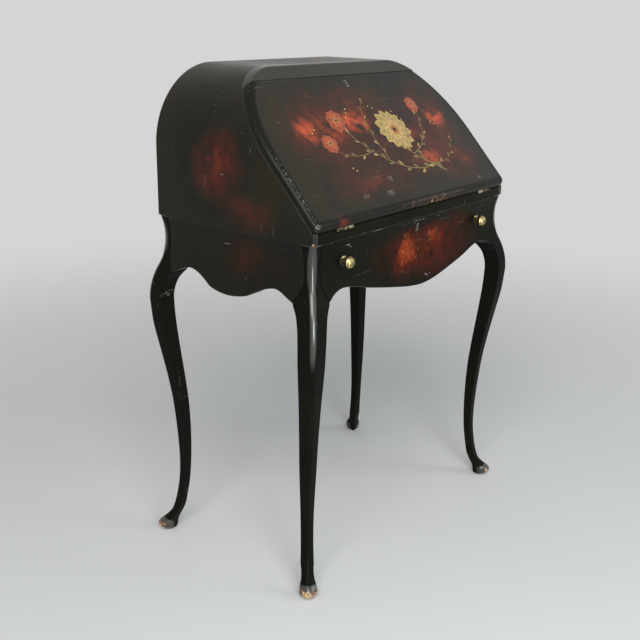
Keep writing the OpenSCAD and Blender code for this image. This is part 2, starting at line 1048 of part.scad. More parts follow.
module at_lid_pivot() {
    on_slope()
        translate([0, stay_arm, -stay_lift])
            rotate([-lid_angle, 0, 0])
                children();
}

// A flat arm from the origin, along a direction in the YZ plane
module arm(x, length, direction) {
    rotate([direction, 0, 0]) {
        translate([x, 0, -stay_w / 2])
            cube([stay_t, length, stay_w]);
        rod_x(stay_w / 2 + 1, x, x + stay_t);
        translate([0, length, 0])
            rod_x(stay_w / 2 + 1, x, x + stay_t);
    }
}

// A hole or a pin at the far end of an arm
module arm_end(length, direction) {
    rotate([direction, 0, 0])
        translate([0, length, 0])
            children();
}

module stay_case_bracket() {
    color(brass)
        at_case_pivot() {
            translate([shell_face - stay_t, -16, -9])
                cube([stay_t, 32, 18]);
            rod_x(cap_r + 1, case_arm_x + stay_t + layer_gap, shell_face - stay_t + eps);
            rod_x(pin_r, case_arm_x - layer_gap - eps, shell_face - stay_t);
            rod_x(cap_r, case_arm_x - layer_gap - cap_t, case_arm_x - layer_gap);
        }
}

module stay_case_arm() {
    color(brass)
        at_case_pivot()
            difference() {
                arm(case_arm_x, lid_pivot_far, lid_pivot_dir);
                rod_x(pin_r + pin_fit, 0, half_w);
                arm_end(lid_pivot_far, lid_pivot_dir)
                    rod_x(pin_r + open_pivot_fit, 0, half_w);
            }
}

module stay_lid_arm() {
    color(brass)
        at_lid_pivot()
            difference() {
                union() {
                    arm(lid_arm_x, stay_base, stay_rise);
                    arm_end(stay_base, stay_rise) {
                        rod_x(cap_r, lid_arm_x + stay_t - eps, case_arm_x - layer_gap);
                        rod_x(pin_r, lid_arm_x + stay_t, case_arm_x + stay_t + layer_gap + eps);
                        rod_x(
                            cap_r,
                            case_arm_x + stay_t + layer_gap,
                            case_arm_x + stay_t + layer_gap + cap_t
                        );
                    }
                }
                rod_x(pin_r + pin_fit, 0, half_w);
            }
}

// Foot on the lid, with an ear that carries the pin
stay_foot_w = 24;
stay_foot_d = 22;
stay_ear_w = 9;
stay_boss_proud = 0.5;

module stay_lid_bracket() {
    color(brass)
        union() {
            on_slope() {
                translate([
                    ear_x + stay_t - stay_boss_proud - stay_foot_w,
                    stay_arm - stay_foot_d / 2,
                    -leaf_t,
                ])
                    cube([stay_foot_w, stay_foot_d, leaf_t]);
                translate([ear_x, stay_arm - stay_ear_w / 2, -stay_lift])
                    cube([stay_t, stay_ear_w, stay_lift - leaf_t / 2]);
            }
            at_lid_pivot() {
                rod_x(stay_ear_w / 2 + 1, ear_x - stay_boss_proud, ear_x + stay_t + stay_boss_proud);
                rod_x(pin_r, ear_x + stay_t, lid_arm_x + stay_t + layer_gap + eps);
                rod_x(cap_r, lid_arm_x + stay_t + layer_gap, lid_arm_x + stay_t + layer_gap + cap_t);
            }
        }
}

// Drawer
module drawer_front() {
    color(lacquer)
        difference() {
            apron_solid(half_w, half_d, front_edge, front_lobe, drawer_gap, drawer_top);
            both_sides() {
                at_knob() {
                    rotate([-90, 0, 0])
                        cylinder(h = 60, r = knob_shank_d / 2 + fit);
                    rotate([90, 0, 0])
                        cylinder(h = 20, r = rose_d / 2 + fit);
                }
                translate([
                    drawer_half - drawer_side_t - fit,
                    -half_d + apron_in - drawer_lap - fit,
                    drawer_low - fit,
                ])
                    cube([drawer_side_t + 2 * fit, drawer_lap + 2, drawer_side_h + 2 * fit]);
            }
            drawer_bottom_blank(fit);
            at_drawer_lock()
                lock_room();
            at_drawer_face() {
                translate([0, -1, 0])
                    keyhole(30, 0);
                thread_room();
            }
        }
}

// The drawer bottom slides into grooves in the front and the sides
module drawer_bottom_blank(grow) {
    half = drawer_half - drawer_side_t + groove_d + grow;
    mid_box(
        2 * half,
        drawer_len + groove_d + grow,
        drawer_bottom_t + 2 * grow,
        -half_d + apron_in - groove_d - grow,
        drawer_low + drawer_bottom_up - grow
    );
}

module drawer_bottom() {
    color(bare_wood)
        drawer_bottom_blank(0);
}

module drawer_side() {
    color(bare_wood)
        difference() {
            translate([
                drawer_half - drawer_side_t,
                -half_d + apron_in - drawer_lap,
                drawer_low,
            ])
                cube([drawer_side_t, drawer_len + drawer_lap, drawer_side_h]);
            drawer_bottom_blank(fit);
            translate([
                drawer_half - drawer_side_t - 1,
                drawer_back_y - drawer_side_t - drawer_back_in - fit,
                drawer_low + drawer_bottom_up + drawer_bottom_t,
            ])
                cube([1 + drawer_side_t / 2, drawer_side_t + 2 * fit, drawer_side_h]);
        }
}

module drawer_back() {
    z = drawer_low + drawer_bottom_up + drawer_bottom_t + fit;
    color(bare_wood)
        mid_box(
            2 * drawer_half - drawer_side_t - 2 * fit,
            drawer_side_t,
            drawer_low + drawer_side_h - z,
            drawer_back_y - drawer_side_t - drawer_back_in,
            z
        );
}

// Frame of a knob: the origin is on the seat of its rose, Y runs inwards
module at_knob() {
    z = case_base - knob_drop;
    translate([knob_x, -half_d - frieze_out(z + rose_d / 2) + 0.6, z])
        children();
}

module drawer_knob() {
    head_r = knob_d / 2;
    dome = knob_d * 0.3;
    neck_r = knob_shank_d / 2 + 1;
    shank = apron_in + nut_t + 4 - waist_in;
    color(brass)
        at_knob()
            rotate([90, 0, 0])
                rotate_extrude()
                    union() {
                        translate([0, -shank])
                            square([knob_shank_d / 2, shank + rose_t + eps]);
                        translate([0, rose_t])
                            square([neck_r, knob_reach - rose_t - dome]);
                        intersection() {
                            translate([0, knob_reach - dome])
                                scale([1, dome / head_r])
                                    circle(r = head_r);
                            translate([0, knob_reach - 2 * dome])
                                square([head_r, 2 * dome]);
                        }
                    }
}

module knob_rose() {
    color(brass)
        at_knob()
            rotate([90, 0, 0])
                difference() {
                    cylinder(h = rose_t, r1 = rose_d / 2, r2 = rose_d / 2 - 1.5);
                    translate([0, 0, -1])
                        cylinder(h = rose_t + 2, r = knob_shank_d / 2 + fit);
                }
}

module knob_nuts() {
    color(steel)
        both_sides()
            translate([knob_x, -half_d + apron_in, case_base - knob_drop])
                rotate([-90, 0, 0])
                    difference() {
                        cylinder(h = nut_t, r = nut_d / 2);
                        translate([0, 0, -1])
                            cylinder(h = nut_t + 2, r = knob_shank_d / 2 + fit);
                    }
}

// Gallery of pigeonholes
gallery_y = gallery_from - half_d;
gallery_d = half_d - back_t - fit - gallery_y;
upper_z = bed_z + lower_h + gallery_t;
upper_h = gallery_h - lower_h - 2 * gallery_t;

module board(x, w, z, h) {
    translate([x, gallery_y, z])
        cube([w, gallery_d, h]);
}

module gallery_end() {
    color(bare_wood)
        board(gallery_w / 2 - gallery_t, gallery_t, bed_z, gallery_h - gallery_t);
}

module gallery_shelf() {
    color(bare_wood)
        board(gallery_t - gallery_w / 2, gallery_w - 2 * gallery_t, bed_z + lower_h, gallery_t);
}

module gallery_top() {
    color(bare_wood)
        board(-gallery_w / 2, gallery_w, bed_z + gallery_h - gallery_t, gallery_t);
}

// Dividers of one row, each with a scoop in its front edge
module dividers(count, z, h) {
    pitch = (gallery_w - 2 * gallery_t) / count;
    color(bare_wood)
        for (i = [1:count - 1])
            difference() {
                board(i * pitch - gallery_w / 2 + gallery_t - divider_t / 2, divider_t, z, h);
                translate([0, gallery_y - scoop_r + scoop_d, z + h * 0.56])
                    rod_x(scoop_r, -half_w, half_w);
            }
}

leg(-1, -1);  // leg_front_left
leg(1, -1);  // leg_front_right
leg(-1, 1);  // leg_back_left
leg(1, 1);  // leg_back_right
side_apron(-90);  // apron_left
side_apron(90);  // apron_right
apron_back();
mirror([1, 0, 0]) drawer_runner();  // drawer_runner_left
drawer_runner();  // drawer_runner_right
drawer_stops();
writing_bed();
case_shell();
case_back();
fascia();
fascia_rail();
case_screws();
back_screws();
mirror([1, 0, 0]) gallery_end();  // gallery_end_left
gallery_end();  // gallery_end_right
gallery_shelf();
gallery_top();
dividers(lower_n, bed_z, lower_h);  // gallery_dividers_lower
dividers(upper_n, upper_z, upper_h);  // gallery_dividers_upper
lid_panel();
lid_leather();
lid_escutcheon();
at_lid_lock() lock_case();  // lid_lock_case
at_lid_lock() lock_bolt();  // lid_lock_bolt
at_lid_lock() strike(joint_gap);  // lid_strike
mirror([1, 0, 0]) hinge_bed_leaf();  // hinge_bed_leaf_left
hinge_bed_leaf();  // hinge_bed_leaf_right
mirror([1, 0, 0]) hinge_lid_leaf();  // hinge_lid_leaf_left
hinge_lid_leaf();  // hinge_lid_leaf_right
hinge_pins();
hinge_screws_bed();
hinge_screws_lid();
mirror([1, 0, 0]) stay_case_bracket();  // stay_case_bracket_left
stay_case_bracket();  // stay_case_bracket_right
mirror([1, 0, 0]) stay_lid_bracket();  // stay_lid_bracket_left
stay_lid_bracket();  // stay_lid_bracket_right
mirror([1, 0, 0]) stay_case_arm();  // stay_case_arm_left
stay_case_arm();  // stay_case_arm_right
mirror([1, 0, 0]) stay_lid_arm();  // stay_lid_arm_left
stay_lid_arm();  // stay_lid_arm_right
drawer_front();
mirror([1, 0, 0]) drawer_side();  // drawer_side_left
drawer_side();  // drawer_side_right
drawer_back();
drawer_bottom();
mirror([1, 0, 0]) drawer_knob();  // drawer_knob_left
drawer_knob();  // drawer_knob_right
mirror([1, 0, 0]) knob_rose();  // knob_rose_left
knob_rose();  // knob_rose_right
knob_nuts();
drawer_escutcheon();
at_drawer_lock() lock_case();  // drawer_lock_case
at_drawer_lock() lock_bolt();  // drawer_lock_bolt
at_drawer_lock() strike(drawer_top_gap);  // drawer_strike
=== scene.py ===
"""Scene of the drop-front desk.

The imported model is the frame. The lacquered case, lid, fascia, aprons, drawer
front, legs and knobs are worked out here as smooth surfaces with rounded
arrises, a gilt spray is laid on the lid, and every other node keeps its own
mesh and gets softened edges and a finish.

Lengths inside the functions are millimetres. The axes are those of the frame:
X runs to the right, Y to the back and Z up.
"""

import itertools
import math

import bmesh
import bpy
import numpy as np
from bpy.props import FloatProperty, FloatVectorProperty, PointerProperty
from mathutils import Matrix, Vector


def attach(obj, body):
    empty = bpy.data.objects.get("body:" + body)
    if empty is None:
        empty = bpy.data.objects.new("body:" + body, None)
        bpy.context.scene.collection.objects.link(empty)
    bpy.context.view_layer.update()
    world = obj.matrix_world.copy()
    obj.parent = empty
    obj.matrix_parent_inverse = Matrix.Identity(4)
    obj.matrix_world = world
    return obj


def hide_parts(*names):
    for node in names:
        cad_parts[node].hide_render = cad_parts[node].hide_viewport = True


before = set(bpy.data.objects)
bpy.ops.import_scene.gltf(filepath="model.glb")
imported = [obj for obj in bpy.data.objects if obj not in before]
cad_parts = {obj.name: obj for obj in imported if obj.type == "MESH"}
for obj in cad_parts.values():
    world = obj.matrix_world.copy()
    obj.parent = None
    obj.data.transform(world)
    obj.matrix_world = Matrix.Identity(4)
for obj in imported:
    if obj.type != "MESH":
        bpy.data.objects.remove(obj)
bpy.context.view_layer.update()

bl_info = {
    "name": "Drop-front desk",
    "version": (1, 0, 0),
    "blender": (4, 5, 0),
    "location": "3D View > Sidebar > Desk",
    "description": "Lacquer, gilding, brass and bare wood for the drop-front desk",
    "category": "Object",
}

MM = 0.001

# Case
HALF_W = 350.0
HALF_D = 205.0
CASE_TOP = 1028.0
CASE_BASE = 730.0
BED_Z = 750.0
SHOULDER_R = 158.0
SHOULDER_X = HALF_W - SHOULDER_R
SPRING_Z = CASE_TOP - SHOULDER_R
SHELL_T = 14.0
SEAT_GAP = 0.4

# Lid and fascia, which share the slope from the hinge axis up to the flat top
SLOPE = math.radians(47)
LID_T = 16.0
JOINT_GAP = 1.0
FASCIA_W = 33.2
SLOPE_LEN = (CASE_TOP - BED_Z - LID_T * math.cos(SLOPE)) / math.sin(SLOPE)
LID_LEN = SLOPE_LEN - FASCIA_W - JOINT_GAP
LID_FOOT = 1.0
LID_CORNER_R = 14.0
LEATHER_W = 560.0
LEATHER_FOOT = 42.0
LEATHER_HEAD = 64.0
LEATHER_LEN = LID_LEN - LEATHER_FOOT - LEATHER_HEAD
LEATHER_T = 1.0
HINGE_X = 260.0
HINGE_LEN = 50.0
LEAF_W = 28.0
LEAF_T = 2.0
LEAF_START = 0.5
KNUCKLE_ROOM = 4.4
KNUCKLE_END = 0.6

# Frieze and legs
WAIST_IN = 6.5
WAIST_Z = CASE_BASE - 45
TURN_Z = CASE_BASE - 105
KNEE_Z = CASE_BASE - 180
HOLLOW_R = 155.0
APRON_IN = 24.5
ARCH_Z = CASE_BASE - 97
EAR_Z = CASE_BASE - 113
EAR_IN = 41.0
GLUE_GAP = 0.3
LEG_ARRIS_R = 11.0
ARRIS_LOSS = 0.586  # what a round arris takes off the sum of two faces, per radius
LEG_REACH = 21.48
TOE_Z = 14.0
FOOT_TOP = 60.0
TOE_SLIM = 9.2

# Drawer, knobs, keyholes and locks
DRAWER_GAP = 1.2
DRAWER_TOP = CASE_BASE - 1
DRAWER_HALF = 316.3
DRAWER_LOW = CASE_BASE - 63.5
DRAWER_SIDE_T = 10.0
DRAWER_SIDE_H = 57.0
DRAWER_LAP = 12.0
BOTTOM_HALF = 311.3
BOTTOM_LAP = 5.0
BOTTOM_LIFT = 5.0
BOTTOM_T = 5.0
KNOB_X = 250.0
KNOB_Z = CASE_BASE - 47
ROSE_R = 11.0
ROSE_LET_IN = 0.6
SHANK_R = 3.0
LOCK_W = 50.0
LOCK_H = 42.0
LOCK_T = 8.0
KEY_DROP = 16.0
KEY_R = 2.5
KEY_SKIRT = 12.5
KEY_HEM = 2.2
THREAD = 0.95
THREAD_DEPTH = 4.0
STRIKE_HALF = 18.0
STRIKE_T = 1.5
STRIKE_DEPTH = 9.8
BOLT_HALF = 10.0
BOLT_REACH = 4.7
BOLT_DEPTHS = (1.3, 8.3)

# Cutters: their clearance, and how far they run past a face
FIT = 0.1
PAST = 1.0

# Lacquer: what wear adds to the grain's level, the levels at which the surface
# is rubbed, chipped to the wood and chipped to the gesso, the wear at which it
# is polished, the coat's weight per sheen, and the coat's roughness
WEAR_LIFT = 0.56
RUBBED_AT = (0.86, 1.0)
CHIPPED_AT = (0.97, 1.0)
DEEP_AT = (1.04, 1.08)
POLISHED_AT = (0.12, 0.40)
COAT_SHARE = 0.3
SMOOTH_COAT = 0.2
RUBBED_COAT = 0.26
WARM_SHINE = (1.0, 0.95, 0.84, 1.0)

# Tones of dirt, wear and iron, and the painted shade inside the keyholes, in linear red, green and
# blue
BRUSHED_GILT = (0.5, 0.42, 0.32)
RUBBED_GILT = (0.06, 0.03, 0.015)
WOOD_PORE = (0.05, 0.025, 0.012)
WOOD_STAIN = (0.07, 0.04, 0.022)
BARE_BRASS = (0.80, 0.76, 0.62)
BRASS_PIT = (0.05, 0.035, 0.015)
KEYHOLE_PAINTED_SHADE = (0.006, 0.005, 0.004)
IRON = (0.22, 0.22, 0.22)
DRAWN_IRON = (0.42, 0.41, 0.39)
RUST = (0.13, 0.06, 0.03)
LEATHER_FOLD = (0.035, 0.012, 0.009)
LEATHER_CREASE = (0.02, 0.008, 0.006)

# Gilt lines on the leather: metres from its edge, and half the width
GILT_LINES = ((0.012, 0.0011), (0.016, 0.0004))

# Nodes that keep their own mesh: degrees over which an edge stays sharp
SHARP_OVER = 32

# Stage: how far the floor reaches and lies below the soles, and the daylight
FLOOR_REACH = 14000.0
FLOOR_DROP = 0.2
DAYLIGHT = (0.80, 0.83, 0.86, 1)
DAYLIGHT_STRENGTH = 0.45

# Camera: focal length and width of the photograph in pixels, place in metres,
# and yaw, pitch and roll in degrees
FOCAL_PIXELS = 937.3
PHOTO_PIXELS = 640
CAMERA_PLACE = (-1.6260, -1.2338, 1.1392)
CAMERA_TURN = (51.623, 18.456, 1.057)


# ---- Surfaces

def arris(distance, radius):
    """Drop of a rounded arris at a distance from its edge.

    Within the radius it is the radius less the root of its square less the
    square of what is left to the radius; further in it is nothing.
    """
    left = radius - np.clip(distance, 0, radius)
    return radius - np.sqrt(np.maximum(radius * radius - left * left, 0))


def quarter(radius, steps):
    """Distances from an edge that space a rounded arris evenly: radius times one less cosine."""
    return radius * (1 - np.cos(np.linspace(0, math.pi / 2, steps)))


def curve(table, column, value):
    """Cubic Hermite curve through the rows of a table, whose slope at each row
    is the rise over the run between its two neighbours."""
    rows = np.array(table, float)
    x, y = rows[:, 0], rows[:, column]
    before = np.maximum(np.arange(len(x)) - 1, 0)
    after = np.minimum(np.arange(len(x)) + 1, len(x) - 1)
    slope = (y[after] - y[before]) / (x[after] - x[before])
    value = np.asarray(value, float)
    i = np.clip(np.searchsorted(x, value) - 1, 0, len(x) - 2)
    run = x[i + 1] - x[i]
    s = (value - x[i]) / run
    return (
        y[i] * (1 + 2 * s) * (1 - s) ** 2
        + run * slope[i] * s * (1 - s) ** 2
        + y[i + 1] * s * s * (3 - 2 * s)
        - run * slope[i + 1] * s * s * (1 - s)
    )


TURN_SIN = (WAIST_Z - TURN_Z) / HOLLOW_R
TURN_COS = math.sqrt(1 - TURN_SIN ** 2)
TURN_OUT = HOLLOW_R * (1 - TURN_COS) - WAIST_IN
KNEE_R = (TURN_Z - KNEE_Z) / TURN_SIN
KNEE_OUT = TURN_OUT + KNEE_R * (1 - TURN_COS)


def frieze_out(z):
    """Distance of the frieze outside the case plane at a height: a circular
    hollow about the waist, and below the turn the circular swell of the knee."""
    z = np.asarray(z, float)
    hollow = HOLLOW_R - np.sqrt(np.maximum(HOLLOW_R ** 2 - (z - WAIST_Z) ** 2, 0)) - WAIST_IN
    knee = KNEE_OUT - KNEE_R + np.sqrt(np.maximum(KNEE_R ** 2 - (z - KNEE_Z) ** 2, 0))
    return np.where(z > TURN_Z, hollow, knee)


# Leg stations: height, outer face outside the case plane, inner face inside it
LEG_LOW = [
    [0, 13, 11], [7, 19.5, 12.5], [14, 21.5, 13.5], [22, 17.5, 14.5], [32, 7.5, 17.5],
    [45, -1.5, 22.5], [61, -6.5, 27], [85, -11, 30.5], [125, -15.5, 35], [170, -17, 37.5],
    [220, -15.5, 38.5], [270, -12.5, 38],
]
LEG_HIGH = [
    [320, -8.5, 36], [365, -3, 32.5], [410, 3.5, 28.5], [455, 10.5, 24.5], [500, 17, 21],
    [KNEE_Z, KNEE_OUT, 19],
]
LEG_INNER = [[row[0], row[2]] for row in LEG_HIGH] + [
    [570, 20.5], [593, 26.5], [606, 34], [EAR_Z, EAR_IN], [629, 37], [640, 31],
    [654, 27.5], [670, 27.5], [CASE_BASE, 27.5],
]


def leg_out(z):
    """Reach of the leg's outer faces outside the case plane at a height."""
    low = curve(LEG_LOW + LEG_HIGH, 1, z)
    return np.minimum(np.where(z > KNEE_Z, frieze_out(z), low), LEG_REACH)


def leg_in(z):
    """Reach of the leg's inner faces inside the case plane at a height."""
    low = curve(LEG_LOW + LEG_HIGH, 2, z)
    return np.where(z > LEG_HIGH[0][0], curve(LEG_INNER, 1, z), low)


def barrel_half(z):
    """Half the width of the case at a height: the shoulder's centre plus the
    chord of its circle at that rise, which is the full half below the shoulder."""
    rise = np.clip(z - SPRING_Z, 0, SHOULDER_R)
    return SHOULDER_X + np.sqrt(SHOULDER_R ** 2 - rise ** 2)


def on_slope(x, u, n):
    """Place of a point that is x across, u up the slope and n out of its face:
    the hinge axis plus u along the slope and n along its normal."""
    y = -HALF_D + u * math.cos(SLOPE) - n * math.sin(SLOPE)
    z = BED_Z + u * math.sin(SLOPE) + n * math.cos(SLOPE)
    return np.stack(np.broadcast_arrays(x, y, z), -1)


def off_slope(points):
    """The inverse of on_slope: how far up the slope and out of its face points lie."""
    y, z = points[:, 1] + HALF_D, points[:, 2] - BED_Z
    return y * math.cos(SLOPE) + z * math.sin(SLOPE), z * math.cos(SLOPE) - y * math.sin(SLOPE)


def case_front(z):
    """Y of the front edge of the case at a height: the case plane, or the seat
    of the lid where the slope lies behind that plane."""
    seat = -HALF_D + ((z - BED_Z) * math.cos(SLOPE) + SEAT_GAP) / math.sin(SLOPE)
    return np.maximum(-HALF_D, seat)


def columns(edge, inner):
    """Pairs (a, b) of a row of columns, each at a times the half width less b:
    first at the edge distances, then evenly across, then at the other edge."""
    middle = np.linspace(-1, 1, inner + 2)[1:-1]
    a = np.concatenate([-np.ones(len(edge)), middle, np.ones(len(edge))])
    b = np.concatenate([-edge, middle * edge[-1], edge[::-1]])
    return a, b


def box_of_grids(front, back):
    """Closed skin of two grids with the same rows and columns: both, and the
    bands between their first and last rows and their first and last columns."""
    rims = [(grid[0], grid[-1], grid[:, 0], grid[:, -1]) for grid in (front, back)]
    return [front, back] + [np.stack(pair) for pair in zip(*rims)]


def capped(rings):
    """Closed skin of a stack of rings: each ring closed on itself, and a point
    at the middle of the first and of the last."""
    loops = np.concatenate([rings, rings[:, :1]], 1)
    first = np.broadcast_to(rings[:1].mean(1, keepdims=True), loops[:1].shape)
    last = np.broadcast_to(rings[-1:].mean(1, keepdims=True), loops[:1].shape)
    return np.concatenate([first, loops, last])


def turned(profile, steps, place):
    """Surface of revolution: each profile row (along, radius) becomes a circle
    of that radius at that distance along the axis."""
    angle = np.linspace(0, 2 * math.pi, steps + 1)
    along, radius = np.array(profile, float).T[..., None]
    return place(radius * np.cos(angle), along + 0 * angle, radius * np.sin(angle))


def mesh_of(name, grids, paint=None):
    """Joins grids of points into one mesh of quads. Points that fall together
    are merged, so seams and poles close, and the faces are turned outwards."""
    start, faces = 0, []
    for grid in grids:
        rows, cols = grid.shape[:2]
        i, j = np.meshgrid(np.arange(rows - 1), np.arange(cols - 1), indexing="ij")
        corner = start + i * cols + j
        quad = np.stack([corner, corner + 1, corner + cols + 1, corner + cols], -1)
        faces.append(quad.reshape(-1, 4))
        start += rows * cols
    points = np.concatenate([grid.reshape(-1, 3) for grid in grids]) * MM
    mesh = bpy.data.meshes.new(name)
    mesh.from_pydata(points.tolist(), [], np.concatenate(faces).tolist())
    if paint is not None:
        layer = mesh.attributes.new("paint", "FLOAT_COLOR", "POINT")
        colour = np.concatenate([part.reshape(-1, 3) for part in paint])
        layer.data.foreach_set("color", np.c_[colour, np.ones(len(colour))].ravel())
    work = bmesh.new()
    work.from_mesh(mesh)
    bmesh.ops.remove_doubles(work, verts=work.verts, dist=2e-6)
    bmesh.ops.dissolve_degenerate(work, edges=work.edges, dist=1e-7)
    bmesh.ops.recalc_face_normals(work, faces=work.faces)
    work.to_mesh(mesh)
    work.free()
    return mesh


def shape(name, grids, paint=None):
    """An object at the origin that holds the mesh of the grids."""
    made = bpy.data.objects.new(name, mesh_of(name, grids, paint))
    bpy.context.scene.collection.objects.link(made)
    return made


def carve(piece, cutters):
    """Takes the cutters out of a piece with Boolean modifiers, keeps the result
    as the piece's mesh and deletes the cutters."""
    for cutter in cutters:
        cut = piece.modifiers.new("cut", "BOOLEAN")
        cut.operation = "DIFFERENCE"
        cut.solver = "EXACT"
        cut.object = cutter
    bpy.context.view_layer.update()
    shown = piece.evaluated_get(bpy.context.evaluated_depsgraph_get())
    result = bpy.data.meshes.new_from_object(shown)
    piece.modifiers.clear()
    piece.data = result
    for cutter in cutters:
        bpy.data.objects.remove(cutter)


def points_of(piece):
    """The piece's points in millimetres, as an array of rows."""
    flat = np.empty(len(piece.data.vertices) * 3)
    piece.data.vertices.foreach_get("co", flat)
    return flat.reshape(-1, 3) / MM


def finish_piece(piece, finish, body, nodes, wear=None, angle=38):
    """Smooths a piece, gives it its finish and hands it over: it rides on its
    body and stands for its nodes. Edges over the angle stay sharp, and wear
    gives 0 to 1 for each point from its place."""
    piece.data.shade_smooth()
    piece.data.set_sharp_from_angle(angle=math.radians(angle))
    if wear is not None:
        layer = piece.data.attributes.new("wear", "FLOAT", "POINT")
        layer.data.foreach_set("value", np.clip(wear(points_of(piece)), 0, 1))
    even = piece.modifiers.new("even_normals", "WEIGHTED_NORMAL")
    even.keep_sharp = True
    piece.data.materials.clear()
    piece.data.materials.append(finish_named(finish))
    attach(piece, body)
    if nodes:
        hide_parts(*nodes)


def room(low, high):
    """Two limits of a cutter, each with its clearance."""
    return low - FIT, high + FIT


def block(name, x, y, z, place=None):
    """A cutter between two values of x, of y and of z, in the frame or through
    a place function."""
    put = place or (lambda a, b, c: np.stack(np.broadcast_arrays(a, b, c), -1))
    across, along = np.meshgrid(np.array(x, float), np.array(y, float), indexing="ij")
    return shape(name, box_of_grids(put(across, along, z[0]), put(across, along, z[1])))


def rod(name, radius, start, end, place):
    """A cutter: a cylinder of that radius about the axis of a place function."""
    profile = [[start, 0], [start, radius], [end, radius], [end, 0]]
    return shape(name, [turned(profile, 40, place)])


def keyhole(name, grow, start, end, place):
    """A cutter for a keyhole: a circle that opens into a flared skirt, as a
    prism from one depth to another."""
    angle = np.linspace(math.radians(-50), math.radians(230), 25)
    outline = np.concatenate([
        np.stack([(KEY_R + grow) * np.cos(angle), (KEY_R + grow) * np.sin(angle)], -1),
        [[-KEY_HEM - grow, -KEY_SKIRT - grow], [KEY_HEM + grow, -KEY_SKIRT - grow]],
    ])
    rings = np.stack([place(outline[:, 0], depth, outline[:, 1]) for depth in (start, end)])
    return shape(name, [capped(rings)])


# ---- Finishes

